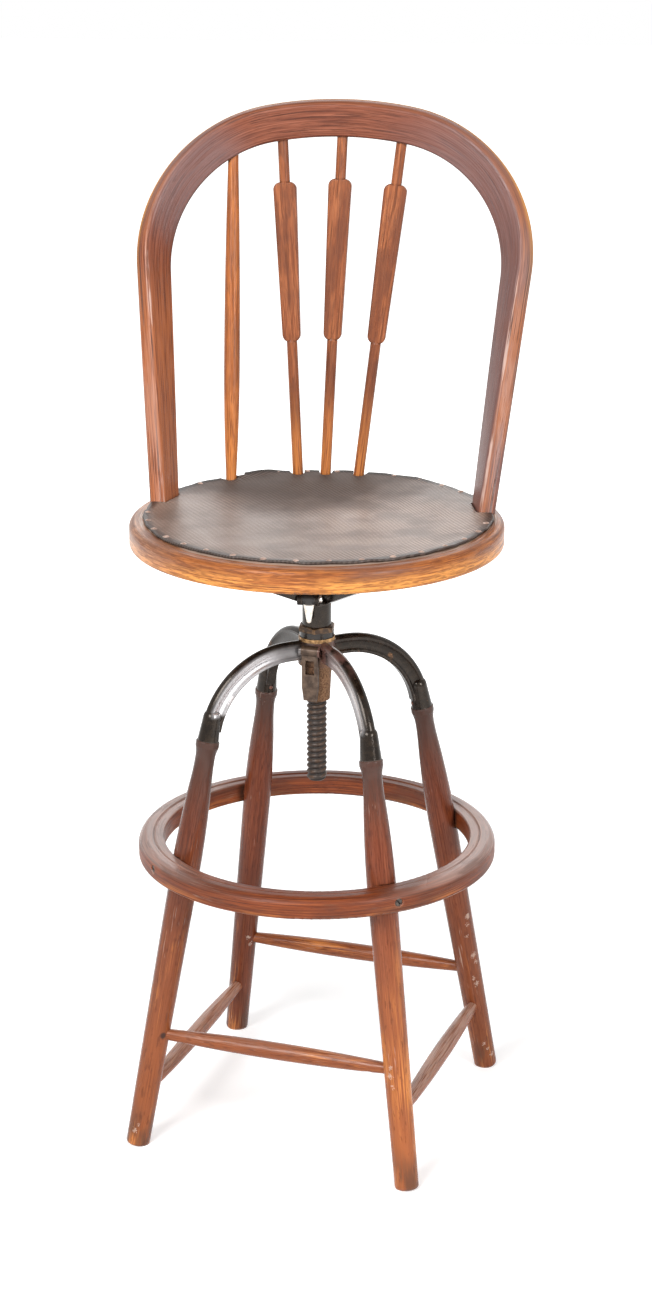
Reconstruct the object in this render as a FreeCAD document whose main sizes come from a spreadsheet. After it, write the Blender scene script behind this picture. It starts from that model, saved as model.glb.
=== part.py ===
import FreeCAD, Part
import math
import os
import Sketcher
from types import SimpleNamespace

# Swivel draughting stool: a turned four-leg base with a foot ring and stretchers, a cast-iron
# spider carrying the height screw, and a round seat with a bent bow back.
# Frame: +Z up, floor at z = 0, swivel axis on Z, the sitter faces -Y. Sizes in millimetres.

# Driving dimensions: name, value, meaning
DIMENSIONS = [
    ("foot_circle_radius", 224.0, "leg axis to swivel axis at the floor"),
    ("joint_circle_radius", 131.6, "leg axis to swivel axis at the iron socket"),
    ("joint_height", 466.0, "height of the joint between leg and iron socket"),
    ("leg_turn", 33.0, "angle of the first leg from +X, degrees"),
    ("leg_foot_radius", 13.2, "leg radius at the floor"),
    ("leg_swell_radius", 15.9, "leg radius at the foot ring"),
    ("leg_neck_radius", 10.8, "leg radius at the neck"),
    ("leg_collar_radius", 13.0, "leg radius at the collar under the socket"),
    ("leg_swell_along", 330.0, "distance of the swell from the floor, along the leg"),
    ("leg_neck_along", 455.0, "distance of the neck from the floor, along the leg"),
    ("leg_neck_run", 24.0, "length of the hollow below the neck"),
    ("leg_collar_length", 6.5, "length of the collar"),
    ("leg_collar_round", 1.6, "rounding of the collar rim"),
    ("leg_tenon_radius", 7.5, "radius of the tenon in the socket"),
    ("leg_tenon_length", 24.0, "length of the tenon in the socket"),
    ("leg_foot_round", 4.0, "rounding of the foot end"),
    ("ring_outer_radius", 199.4, "outside radius of the foot ring"),
    ("ring_inner_radius", 171.0, "inside radius of the foot ring"),
    ("ring_bottom", 315.0, "underside of the foot ring"),
    ("ring_top", 338.2, "top of the foot ring"),
    ("ring_round", 10.0, "rounding of the outer top edge of the foot ring"),
    ("ring_groove_radius", 182.0, "radius of the groove line on the foot ring"),
    ("ring_groove_depth", 1.6, "depth of the groove line"),
    ("ring_edge", 2.5, "rounding of the small edges of the foot ring"),
    ("end_stretcher_height", 130.0, "height of the front and back stretchers"),
    ("left_stretcher_height", 64.0, "height of the left stretcher"),
    ("right_stretcher_height", 83.0, "height of the right stretcher"),
    ("stretcher_mid_radius", 9.6, "stretcher radius at mid length"),
    ("stretcher_end_radius", 6.4, "stretcher radius where it enters the leg"),
    ("stretcher_past_axis", 4.0, "how far the stretcher passes the leg axis"),
    ("hub_top", 563.8, "top of the spider hub"),
    ("hub_waist", 536.0, "underside of the spider hub block"),
    ("hub_bottom", 495.0, "lower end of the hub sleeve"),
    ("hub_radius", 20.5, "radius of the hub block"),
    ("sleeve_top_radius", 16.8, "hub sleeve radius under the block"),
    ("sleeve_end_radius", 14.6, "hub sleeve radius at its lower end"),
    ("arm_axis_height", 554.0, "height of the spider arm axis at the hub"),
    ("arm_bend_start", 35.2, "distance from the axis where a spider arm starts to bend"),
    ("arm_bend_radius", 95.0, "bend radius of a spider arm"),
    ("arm_depth", 21.5, "depth of a spider arm"),
    ("arm_crown_half", 6.4, "half width of the arm crown"),
    ("arm_web_half", 4.4, "half width of the arm web"),
    ("arm_bead_half", 5.8, "half width of the lower bead"),
    ("socket_radius", 11.8, "outside radius of a leg socket at its lip"),
    ("socket_top_radius", 9.9, "outside radius of a leg socket at its top"),
    ("socket_length", 26.0, "length of a leg socket below its domed end"),
    ("screw_radius", 11.2, "outside radius of the height screw"),
    ("screw_bottom", 400.0, "lower end of the height screw"),
    ("screw_shoulder", 648.0, "shoulder that carries the seat iron"),
    ("journal_radius", 6.0, "radius of the journal above the shoulder"),
    ("running_gap", 0.08, "radial clearance of turning and sliding fits"),
    ("glue_gap", 0.05, "clearance of glued and driven joints"),
    ("washer_radius", 20.0, "radius of the bearing washer"),
    ("washer_thickness", 4.0, "thickness of the bearing washer"),
    ("nut_collar_radius", 19.0, "radius of the round collar of the nut"),
    ("nut_collar_height", 6.5, "height of the round collar of the nut"),
    ("nut_half_flats", 18.4, "half the distance across the flats of the nut"),
    ("nut_hex_height", 6.2, "height of the hexagon of the nut"),
    ("tube_radius", 16.1, "outside radius of the seat socket tube"),
    ("tube_bottom", 581.0, "lower end of the seat socket tube"),
    ("iron_arm_start", 610.0, "height where the seat iron arms leave the tube"),
    ("iron_pad_radius", 164.0, "distance of the seat iron pads from the axis"),
    ("iron_arm_half_width", 8.5, "half width of a seat iron arm"),
    ("iron_arm_thickness", 7.0, "thickness of a seat iron arm"),
    ("iron_pad_length", 30.0, "length of a seat iron pad"),
    ("seat_radius", 203.0, "outside radius of the seat frame"),
    ("seat_hole_radius", 146.0, "radius of the open middle of the seat frame"),
    ("seat_bottom", 674.7, "underside of the seat frame"),
    ("seat_top", 700.5, "top of the seat frame"),
    ("seat_round", 7.0, "rounding of the top edge of the seat frame"),
    ("seat_edge", 3.0, "rounding of the other edges of the seat frame"),
    ("leather_radius", 191.5, "radius of the leather panel"),
    ("leather_back_shift", 7.5, "how far the leather panel sits towards the back"),
    ("leather_thickness", 3.0, "thickness of the leather panel"),
    ("tack_inset", 7.0, "distance of the tacks from the leather edge"),
    ("tack_radius", 3.6, "radius of a tack head"),
    ("tack_dome", 5.2, "radius of the dome of a tack head"),
    ("bow_foot_half", 177.0, "half distance between the bow feet"),
    ("bow_foot_back", 54.5, "how far the bow feet stand behind the axis"),
    ("bow_lean", 22.0, "backward lean of the bow, degrees"),
    ("bow_spread", 5.5, "outward lean of the bow legs, degrees"),
    ("bow_leg_length", 260.0, "straight length of a bow leg"),
    ("bow_shoulder_radius", 155.0, "radius of the bow shoulder"),
    ("bow_shoulder_turn", 84.5, "angle of the bow shoulder, degrees"),
    ("bow_width", 40.0, "width of the bow band"),
    ("bow_thickness", 19.5, "thickness of the bow band"),
    ("bow_foot_dish", 17.0, "dish of the band at the feet, degrees"),
    ("bow_shoulder_dish", 35.0, "dish of the band where the shoulder starts, degrees"),
    ("bow_top_dish", 58.0, "dish of the band at the top, degrees"),
    ("bow_front_round", 6.0, "rounding of the front edge of the band"),
    ("bow_rear_round", 3.5, "rounding of the rear edge of the band"),
    ("bow_tenon_radius", 7.0, "radius of the bow foot tenon"),
    ("spindle_circle_radius", 184.0, "circle on the seat where the spindles stand"),
    ("spindle_end_radius", 6.0, "spindle radius at its ends"),
    ("spindle_swell_radius", 9.0, "largest radius of the turned spindle"),
    ("paddle_top_half", 13.0, "half width of a spindle paddle at its upper shoulder"),
    ("paddle_low_half", 10.2, "half width of a spindle paddle at its lower shoulder"),
    ("paddle_thickness", 10.6, "thickness of a spindle paddle"),
    ("paddle_round", 2.2, "rounding of the paddle edges"),
    ("paddle_shoulder", 8.0, "length of a paddle shoulder"),
    ("spindle_into_seat", 18.0, "depth of a spindle in the seat frame"),
    ("spindle_into_bow", 12.0, "depth of a spindle in the bow"),
    ("latch_turn", 258.0, "direction of the latch from +X, degrees"),
    ("latch_pin_reach", 20.8, "distance of the latch pin from the axis"),
    ("latch_pin_height", 555.5, "height of the latch pin"),
    ("latch_pin_radius", 2.2, "radius of the latch pin"),
    ("latch_knuckle_radius", 6.0, "radius of the latch knuckle"),
    ("latch_half_width", 9.2, "half width of the latch"),
    ("latch_cheek", 2.6, "thickness of the bracket cheeks beside the latch"),
    ("latch_taper", 15.0, "length of the tapered lower end of the latch"),
    ("latch_plate_thickness", 5.0, "thickness of the latch plate"),
    ("latch_end_height", 499.0, "height of the lower end of the latch"),
    ("clamp_height", 617.0, "height of the clamp pin"),
    ("clamp_reach", 24.5, "distance of the clamp pin in front of the axis"),
    ("clamp_pin_radius", 2.6, "radius of the clamp pin"),
    ("lever_barrel_radius", 6.2, "radius of the clamp lever barrel"),
    ("lever_length", 28.5, "length of the clamp lever from its pin"),
    ("ring_screw_radius", 2.4, "shank radius of the foot ring screws"),
    ("ring_screw_head", 5.0, "head radius of the foot ring screws"),
    ("seat_screw_radius", 2.2, "shank radius of the seat iron screws"),
    ("seat_screw_head", 4.4, "head radius of the seat iron screws"),
    ("socket_pin_radius", 2.0, "radius of the pins through the leg sockets"),
    ("socket_pin_along", 6.5, "distance of a socket pin above the socket lip"),
]

doc = FreeCAD.newDocument("swivel_stool")
sheet = doc.addObject("Spreadsheet::Sheet", "Dims")


class Size:
    """A dimension as an expression on the sheet, together with its present value."""

    def __init__(self, text, value):
        self.text = text
        self.value = value

    def __add__(self, other):
        other = as_size(other)
        return Size(f"({self.text} + {other.text})", self.value + other.value)

    def __sub__(self, other):
        other = as_size(other)
        return Size(f"({self.text} - {other.text})", self.value - other.value)

    def __mul__(self, other):
        other = as_size(other)
        return Size(f"({self.text} * {other.text})", self.value * other.value)

    def __truediv__(self, other):
        other = as_size(other)
        return Size(f"({self.text} / {other.text})", self.value / other.value)

    def __neg__(self):
        return Size(f"(0 - {self.text})", -self.value)


def as_size(amount):
    """A plain number as a Size; a Size stays as it is."""
    return amount if isinstance(amount, Size) else Size(f"({amount})", float(amount))


def fill_sheet():
    """Writes the driving dimensions to the sheet and returns them by name."""
    cells = {}
    for row, (name, value, meaning) in enumerate(DIMENSIONS, start=1):
        sheet.set(f"A{row}", meaning)
        sheet.set(f"B{row}", str(value))
        sheet.setAlias(f"B{row}", name)
        cells[name] = Size(f"Dims.{name}", value)
    doc.recompute()
    return SimpleNamespace(**cells)


d = fill_sheet()
SUBPARTS = []

X_AXIS = FreeCAD.Vector(1, 0, 0)
Y_AXIS = FreeCAD.Vector(0, 1, 0)
Z_AXIS = FreeCAD.Vector(0, 0, 1)


def bind(feature, **sizes):
    """Sets properties of a feature from Sizes, through the sheet."""
    for name, amount in sizes.items():
        feature.setExpression(name, as_size(amount).text)


def subpart(feature, name):
    """Names a finished sub-part, which also names its file."""
    feature.Label = name
    SUBPARTS.append(feature)
    return feature


def place(feature, base=(0, 0, 0), rotation=None):
    """Puts a feature at a base point with a rotation."""
    feature.Placement = FreeCAD.Placement(FreeCAD.Vector(*base), rotation or FreeCAD.Rotation())
    return feature


def turned(angle):
    """Rotation by an angle about the swivel axis."""
    return FreeCAD.Rotation(Z_AXIS, angle)


def along(direction, across=None):
    """Rotation that lays local Z along a direction, local X as near as possible to another."""
    across = across or FreeCAD.Vector(direction.y, -direction.x, 0)
    if across.Length < 1e-6:
        across = X_AXIS
    return FreeCAD.Rotation(across, direction.cross(across), direction, "ZXY")


# Sketches and features


def origin_plane(body, role):
    return next(item for item in body.Origin.OriginFeatures if item.Role == role)


def arc_between(start, end, radius):
    """Circle arc from start to end; a positive radius turns left, a negative one right."""
    half = (end - start) * 0.5
    reach = math.sqrt(max(radius * radius - half.Length ** 2, 0.0))
    normal = FreeCAD.Vector(-half.y, half.x, 0).normalize()
    centre = start + half + normal * math.copysign(reach, radius)
    first, last = (start, end) if radius > 0 else (end, start)
    angles = [math.atan2(point.y - centre.y, point.x - centre.x) for point in (first, last)]
    return Part.ArcOfCircle(Part.Circle(centre, Z_AXIS, abs(radius)), *angles)


def outline(body, name, role, corners, lift=None, closed=True):
    """Sketch through corners (x, y, radius of the arc to the next corner or None)."""
    sketch = body.newObject("Sketcher::SketchObject", name)
    sketch.AttachmentSupport = [(origin_plane(body, role), "")]
    sketch.MapMode = "FlatFace"
    if lift is not None:
        sketch.setExpression("AttachmentOffset.Base.z", as_size(lift).text)
    corners = [(as_size(x), as_size(y), None if r is None else as_size(r)) for x, y, r in corners]
    points = [FreeCAD.Vector(x.value, y.value, 0) for x, y, _ in corners]
    count = len(corners)
    edges = count if closed else count - 1
    starts = []
    ends = []
    for index in range(edges):
        start, end = points[index], points[(index + 1) % count]
        radius = corners[index][2]
        if radius is None:
            edge = sketch.addGeometry(Part.LineSegment(start, end))
            starts.append((edge, 1))
            ends.append((edge, 2))
        else:
            edge = sketch.addGeometry(arc_between(start, end, radius.value))
            starts.append((edge, 1 if radius.value > 0 else 2))
            ends.append((edge, 2 if radius.value > 0 else 1))
            held = sketch.addConstraint(Sketcher.Constraint("Radius", edge, abs(radius.value)))
            sketch.setExpression(f"Constraints[{held}]", f"abs({radius.text})")
    for index in range(edges if closed else edges - 1):
        following = (index + 1) % edges
        sketch.addConstraint(Sketcher.Constraint("Coincident", *ends[index], *starts[following]))
    vertices = starts if closed else starts + [ends[-1]]
    for (edge, end), (x, y, _) in zip(vertices, corners):
        hold(sketch, "DistanceX", edge, end, x)
        hold(sketch, "DistanceY", edge, end, y)
    return sketch


def hold(sketch, kind, edge, end, amount):
    """Fixes one coordinate of a sketch vertex to a Size."""
    if abs(amount.value) < 1e-9:
        axis = -2 if kind == "DistanceX" else -1
        sketch.addConstraint(Sketcher.Constraint("PointOnObject", edge, end, axis))
        return
    if amount.value > 0:
        constraint = Sketcher.Constraint(kind, -1, 1, edge, end, amount.value)
        text = amount.text
    else:
        constraint = Sketcher.Constraint(kind, edge, end, -1, 1, -amount.value)
        text = (-amount).text
    held = sketch.addConstraint(constraint)
    sketch.setExpression(f"Constraints[{held}]", text)


def new_body(name):
    return doc.addObject("PartDesign::Body", name + "_body")


def revolve(body, sketch, kind="Revolution", axis="V_Axis"):
    feature = body.newObject("PartDesign::" + kind, sketch.Name + "_" + kind.lower())
    feature.Profile = sketch
    feature.ReferenceAxis = (sketch, [axis])
    feature.Angle = 360
    return feature


def pad(body, sketch, length, kind="Pad", midplane=True):
    feature = body.newObject("PartDesign::" + kind, sketch.Name + "_" + kind.lower())
    feature.Profile = sketch
    feature.SideType = "Symmetric" if midplane else "One side"
    bind(feature, Length=length)
    return feature


def cylinder(name, radius, height, base=(0, 0, 0), rotation=None):
    feature = doc.addObject("Part::Cylinder", name)
    bind(feature, Radius=radius, Height=height)
    return place(feature, base, rotation)


def box(name, length, width, height, base=(0, 0, 0), rotation=None):
    feature = doc.addObject("Part::Box", name)
    bind(feature, Length=length, Width=width, Height=height)
    return place(feature, base, rotation)


def cone(name, low, high, height, base=(0, 0, 0), rotation=None):
    feature = doc.addObject("Part::Cone", name)
    bind(feature, Radius1=low, Radius2=high, Height=height)
    return place(feature, base, rotation)


def fuse(name, pieces):
    feature = doc.addObject("Part::MultiFuse", name)
    feature.Shapes = pieces
    return feature


def cut(name, base, tool):
    feature = doc.addObject("Part::Cut", name)
    feature.Base = base
    feature.Tool = tool
    return feature


def group(name, pieces):
    feature = doc.addObject("Part::Compound", name)
    feature.Links = pieces
    return feature


# Derived sizes shared by several pieces

LEG_NAMES = ["back_right", "back_left", "front_left", "front_right"]
LEG_ANGLES = [d.leg_turn.value + 90.0 * quarter for quarter in range(4)]
leg_run = d.foot_circle_radius - d.joint_circle_radius
leg_length = Size(f"sqrt(({leg_run.text})^2 + ({d.joint_height.text})^2)",
                  math.hypot(leg_run.value, d.joint_height.value))
lean_sine = leg_run / leg_length
lean_cosine = d.joint_height / leg_length
LEG_LEAN = math.degrees(math.asin(lean_sine.value))
screw_bore = d.screw_radius + d.running_gap
ring_middle = (d.ring_bottom + d.ring_top) * 0.5


def polar(radius, angle, height):
    """Point at a radius and an angle about the swivel axis."""
    turn = math.radians(angle)
    return FreeCAD.Vector(radius * math.cos(turn), radius * math.sin(turn), height)


def leg_axis_point(angle, height):
    reach = d.foot_circle_radius.value - leg_run.value * height / d.joint_height.value
    return polar(reach, angle, height)


def leg_rotation(angle):
    return turned(angle).multiply(FreeCAD.Rotation(Y_AXIS, -LEG_LEAN))


def arc_radius(run, rise):
    """Radius of the arc that leaves square to its radius and moves aside by rise over run."""
    return (run * run + rise * rise) / (rise * 2)


def screw(name, head, shank, sink, length, base, direction):
    """Countersunk wood screw from the middle of its head along a direction."""
    rotation = along(direction)
    heel = base + direction * sink.value
    top = cone(name + "_head", head, shank, sink, base, rotation)
    return fuse(name, [top, cylinder(name + "_shank", shank, length - sink, heel, rotation)])


# Base: legs, foot ring, stretchers and their fastenings

RING_SCREW_SINK = as_size(4.0)
RING_SCREW_LENGTH = as_size(44.0)
STRETCHERS = [
    ("stretcher_front", 2, 3, d.end_stretcher_height),
    ("stretcher_back", 0, 1, d.end_stretcher_height),
    ("stretcher_left", 1, 2, d.left_stretcher_height),
    ("stretcher_right", 3, 0, d.right_stretcher_height),
]


def ring_screw_set(suffix, gap):
    """The four screws that hold the ring to the legs, or with a gap their bores."""
    screws = []
    for name, angle in zip(LEG_NAMES, LEG_ANGLES):
        base = polar(d.ring_outer_radius.value, angle, ring_middle.value)
        screws.append(screw(f"ring_screw_{name}{suffix}",
                            d.ring_screw_head + gap, d.ring_screw_radius + gap,
                            RING_SCREW_SINK, RING_SCREW_LENGTH + gap, base, polar(-1, angle, 0)))
    return screws


def stretcher_line(first, second, height):
    """Start point, direction and length of a stretcher between two leg axes."""
    start = leg_axis_point(LEG_ANGLES[first], height.value)
    end = leg_axis_point(LEG_ANGLES[second], height.value)
    direction = (end - start).normalize()
    reach = d.foot_circle_radius - leg_run * height / d.joint_height
    span = reach * math.sqrt(2.0)
    return start - direction * d.stretcher_past_axis.value, direction, span + d.stretcher_past_axis * 2


def make_stretcher(name, first, second, height):
    start, direction, length = stretcher_line(first, second, height)
    shoulder = d.stretcher_past_axis + d.leg_swell_radius
    swell = arc_radius(length * 0.5 - shoulder, d.stretcher_mid_radius - d.stretcher_end_radius)
    body = new_body(name)
    sketch = outline(body, name + "_outline", "XZ_Plane", [
        (0, 0, None),
        (d.stretcher_end_radius, 0, None),
        (d.stretcher_end_radius, shoulder, swell),
        (d.stretcher_end_radius, length - shoulder, None),
        (d.stretcher_end_radius, length, None),
        (0, length, None),
    ])
    revolve(body, sketch)
    place(body, start, along(direction))
    return subpart(body, name)


def stretcher_bore(name, first, second, height):
    start, direction, length = stretcher_line(first, second, height)
    return cylinder(name + "_bore", d.stretcher_end_radius + d.glue_gap, length + d.glue_gap,
                    start - direction * (d.glue_gap.value / 2), along(direction))


def socket_pin_set(suffix, gap):
    """Pins driven from the inner side through each socket into the leg tenon, or their bores."""
    pins = []
    pin_length = d.socket_radius + d.leg_tenon_radius * 0.5
    sunk = 1.0
    for name, angle in zip(LEG_NAMES, LEG_ANGLES):
        rotation = leg_rotation(angle)
        rise = rotation.multVec(Z_AXIS) * d.socket_pin_along.value
        centre = leg_axis_point(angle, d.joint_height.value) + rise
        inward = rotation.multVec(X_AXIS) * -1.0
        start = centre + inward * (d.socket_radius.value - sunk)
        pins.append(cylinder(f"socket_pin_{name}{suffix}", d.socket_pin_radius + gap, pin_length + gap,
                             start, along(inward * -1.0)))
    return pins


def make_leg(name, angle, bores):
    """Turned leg: tapering foot, swell at the ring, neck, collar and socket tenon."""
    taper = (d.leg_swell_radius - d.leg_neck_radius) / (d.leg_neck_along - d.leg_swell_along)
    bend_radius = d.leg_neck_radius + taper * d.leg_neck_run
    bend_along = d.leg_neck_along - d.leg_neck_run
    swell_arc = arc_radius(bend_along - d.leg_swell_along, d.leg_swell_radius - bend_radius)
    neck_arc = arc_radius(d.leg_neck_run, bend_radius - d.leg_neck_radius)
    collar_start = leg_length - d.leg_collar_length
    collar_arc = arc_radius(collar_start - d.leg_neck_along, d.leg_collar_radius - d.leg_neck_radius)
    end = as_size(-1.0)
    body = new_body(name)
    sketch = outline(body, name + "_outline", "XZ_Plane", [
        (0, end, None),
        (d.leg_foot_radius - d.leg_foot_round, end, d.leg_foot_round),
        (d.leg_foot_radius, end + d.leg_foot_round, None),
        (d.leg_swell_radius, d.leg_swell_along, swell_arc),
        (bend_radius, bend_along, -neck_arc),
        (d.leg_neck_radius, d.leg_neck_along, -collar_arc),
        (d.leg_collar_radius, collar_start, None),
        (d.leg_collar_radius, leg_length - d.leg_collar_round, d.leg_collar_round),
        (d.leg_collar_radius - d.leg_collar_round, leg_length, None),
        (d.leg_tenon_radius, leg_length, None),
        (d.leg_tenon_radius, leg_length + d.leg_tenon_length, None),
        (0, leg_length + d.leg_tenon_length, None),
    ])
    revolve(body, sketch)
    foot = leg_axis_point(angle, 0.0)
    place(body, foot, leg_rotation(angle))
    floor = box(name + "_floor", 80, 80, 20, (foot.x - 40, foot.y - 40, -20))
    return subpart(cut(name + "_cut", body, fuse(name + "_bores", [floor] + bores)), name)


def make_foot_ring(bores):
    """Bent ring with a rounded outer edge and a groove line along its top."""
    small = d.ring_edge
    land = d.ring_top - d.ring_groove_depth * 0.5
    groove_half = d.ring_groove_depth
    body = new_body("foot_ring")
    sketch = outline(body, "foot_ring_section", "XZ_Plane", [
        (d.ring_inner_radius + small, d.ring_bottom, None),
        (d.ring_outer_radius - small, d.ring_bottom, small),
        (d.ring_outer_radius, d.ring_bottom + small, None),
        (d.ring_outer_radius, d.ring_top - d.ring_round, d.ring_round),
        (d.ring_outer_radius - d.ring_round, d.ring_top, None),
        (d.ring_groove_radius + groove_half, d.ring_top, None),
        (d.ring_groove_radius, d.ring_top - d.ring_groove_depth, None),
        (d.ring_groove_radius - groove_half, land, None),
        (d.ring_inner_radius + small, land, small),
        (d.ring_inner_radius, land - small, None),
        (d.ring_inner_radius, d.ring_bottom + small, small),
    ])
    revolve(body, sketch)
    return subpart(cut("foot_ring_cut", body, fuse("foot_ring_bores", bores)), "foot_ring")


def make_base():
    """The wooden base and its fastenings."""
    gap = d.glue_gap
    ring_height = d.ring_top - d.ring_bottom
    ring_space = cut("ring_space",
                     cylinder("ring_space_outer", d.ring_outer_radius + 20, ring_height + gap * 2,
                              (0, 0, d.ring_bottom.value - gap.value)),
                     cylinder("ring_space_inner", d.ring_inner_radius - gap, ring_height + gap * 4,
                              (0, 0, d.ring_bottom.value - gap.value * 2)))
    screw_bores = ring_screw_set("_bore", gap)
    pin_bores = socket_pin_set("_bore", gap)
    rod_bores = {name: stretcher_bore(name, first, second, height)
                 for name, first, second, height in STRETCHERS}
    for index, (name, angle) in enumerate(zip(LEG_NAMES, LEG_ANGLES)):
        own = [rod_bores[rod] for rod, first, second, _ in STRETCHERS if index in (first, second)]
        make_leg("leg_" + name, angle, own + [ring_space, screw_bores[index], pin_bores[index]])
    make_foot_ring(screw_bores)
    for rod in STRETCHERS:
        make_stretcher(*rod)
    subpart(group("foot_ring_screw_set", ring_screw_set("", as_size(0))), "foot_ring_screws")
    subpart(group("socket_pin_set", socket_pin_set("", as_size(0))), "socket_pins")
    return pin_bores


# Cast-iron spider, with the latch hung on its hub


def arm_section(body, name, start):
    """Arm section: rounded crown, hollowed sides and a bead along the lower edge."""
    half = d.arm_depth * 0.5
    bead_round = as_size(1.5)
    crown_rise = as_size(4.0)
    crown_arc = arc_radius(d.arm_crown_half, crown_rise)
    hollow = d.arm_depth * 0.72
    crown = d.arm_axis_height + half - crown_rise
    eaves = crown - 2
    base = d.arm_axis_height - half
    web = base + 5
    ledge = base + 3
    bead = base + bead_round
    return outline(body, name, "YZ_Plane", [
        (-d.arm_bead_half + bead_round, base, None),
        (d.arm_bead_half - bead_round, base, bead_round),
        (d.arm_bead_half, bead, None),
        (d.arm_bead_half, ledge, None),
        (d.arm_web_half, web, -hollow),
        (d.arm_crown_half, eaves, None),
        (d.arm_crown_half, crown, crown_arc),
        (-d.arm_crown_half, crown, None),
        (-d.arm_crown_half, eaves, -hollow),
        (-d.arm_web_half, web, None),
        (-d.arm_bead_half, ledge, None),
        (-d.arm_bead_half, bead, bead_round),
    ], lift=start)


def arm_path(body, name, start):
    """Line of an arm: level from the hub, then one long bend down to the lean of the leg."""
    end_height = d.arm_axis_height - d.arm_bend_radius * (as_size(1) - lean_sine)
    end_reach = d.arm_bend_start + d.arm_bend_radius * lean_cosine
    into = as_size(1)
    return outline(body, name, "XZ_Plane", [
        (start, d.arm_axis_height, None),
        (d.arm_bend_start, d.arm_axis_height, -d.arm_bend_radius),
        (end_reach, end_height, None),
        (end_reach + into * lean_sine, end_height - into * lean_cosine, None),
    ], closed=False)


def make_spider_arm(name, angle):
    """Channelled arm that bends down into a tapered, domed leg socket."""
    body = new_body("arm_" + name)
    start = d.hub_radius - 4
    arm = body.newObject("PartDesign::AdditivePipe", "arm_pipe_" + name)
    arm.Profile = arm_section(body, "arm_section_" + name, start)
    arm.Spine = arm_path(body, "arm_path_" + name, start)
    arm.Transition = "Transformed"
    joint = FreeCAD.Vector(d.joint_circle_radius.value, 0, d.joint_height.value)
    lean = FreeCAD.Rotation(Y_AXIS, -LEG_LEAN)
    cup = body.newObject("PartDesign::AdditiveCone", "socket_cup_" + name)
    bind(cup, Radius1=d.socket_radius, Radius2=d.socket_top_radius, Height=d.socket_length)
    place(cup, joint, lean)
    dome = body.newObject("PartDesign::AdditiveSphere", "socket_dome_" + name)
    bind(dome, Radius=d.socket_top_radius)
    place(dome, joint + lean.multVec(Z_AXIS) * d.socket_length.value, lean)
    bore = body.newObject("PartDesign::SubtractiveCylinder", "socket_bore_" + name)
    bind(bore, Radius=d.leg_tenon_radius + d.glue_gap, Height=d.leg_tenon_length + 1)
    place(bore, joint, lean)
    return place(body, rotation=turned(angle))


def make_hub():
    """Hub block with a tapered sleeve below, bored for the height screw."""
    body = new_body("hub")
    hub = outline(body, "hub_section", "XZ_Plane", [
        (screw_bore, d.hub_bottom, None),
        (d.sleeve_end_radius, d.hub_bottom, None),
        (d.sleeve_top_radius, d.hub_waist, None),
        (d.hub_radius, d.hub_waist, None),
        (d.hub_radius, d.hub_top, None),
        (screw_bore, d.hub_top, None),
    ])
    revolve(body, hub)
    return body


def make_latch_bracket():
    """Lug on the hub front that holds the latch pin, with a slot for the latch."""
    nose = d.latch_knuckle_radius + 0.6
    rear = d.hub_radius - 4
    top = d.latch_pin_height + nose
    low = d.latch_pin_height - nose
    body = new_body("latch_bracket")
    sketch = outline(body, "bracket_side", "XZ_Plane", [
        (rear, low, None),
        (d.latch_pin_reach, low, nose),
        (d.latch_pin_reach + nose, d.latch_pin_height, nose),
        (d.latch_pin_reach, top, None),
        (rear, top, None),
    ])
    pad(body, sketch, (d.latch_half_width + d.latch_cheek) * 2)
    place(body, rotation=turned(d.latch_turn.value))
    return body


def latch_pin(name, gap):
    """Pin across the latch bracket, or with a gap its bore."""
    half = d.latch_half_width + d.latch_cheek
    side = polar(1, d.latch_turn.value + 90, 0)
    middle = polar(d.latch_pin_reach.value, d.latch_turn.value, d.latch_pin_height.value)
    return cylinder(name, d.latch_pin_radius + gap, half * 2, middle - side * half.value, along(side))


def make_spider(pin_bores):
    front = turned(d.latch_turn.value)
    slot_half = d.latch_half_width + 0.3
    slot_reach = d.latch_pin_reach - d.latch_knuckle_radius - 0.4
    slot_top = d.latch_pin_height + d.latch_knuckle_radius + 0.4
    slot_base = front.multVec(FreeCAD.Vector(slot_reach.value, -slot_half.value, d.hub_waist.value - 1))
    slot = box("latch_slot", 30, slot_half * 2, slot_top - d.hub_waist + 1, slot_base, front)
    key_half = 4.6
    key_bottom = d.latch_end_height.value + 2.5
    key_base = front.multVec(FreeCAD.Vector(d.screw_radius.value - 2, -key_half, key_bottom))
    key = box("latch_key_slot", 12, key_half * 2, 14, key_base, front)
    arms = [make_spider_arm(name, angle) for name, angle in zip(LEG_NAMES, LEG_ANGLES)]
    solid = fuse("spider_solid", [make_hub(), make_latch_bracket()] + arms)
    washer_space = cylinder("washer_space", d.washer_radius + 0.6, d.arm_depth, (0, 0, d.hub_top.value))
    pin_bore = latch_pin("latch_pin_bore", d.glue_gap)
    tools = fuse("spider_bores", [slot, key, washer_space, pin_bore] + pin_bores)
    return subpart(cut("spider_cut", solid, tools), "spider")


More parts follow.
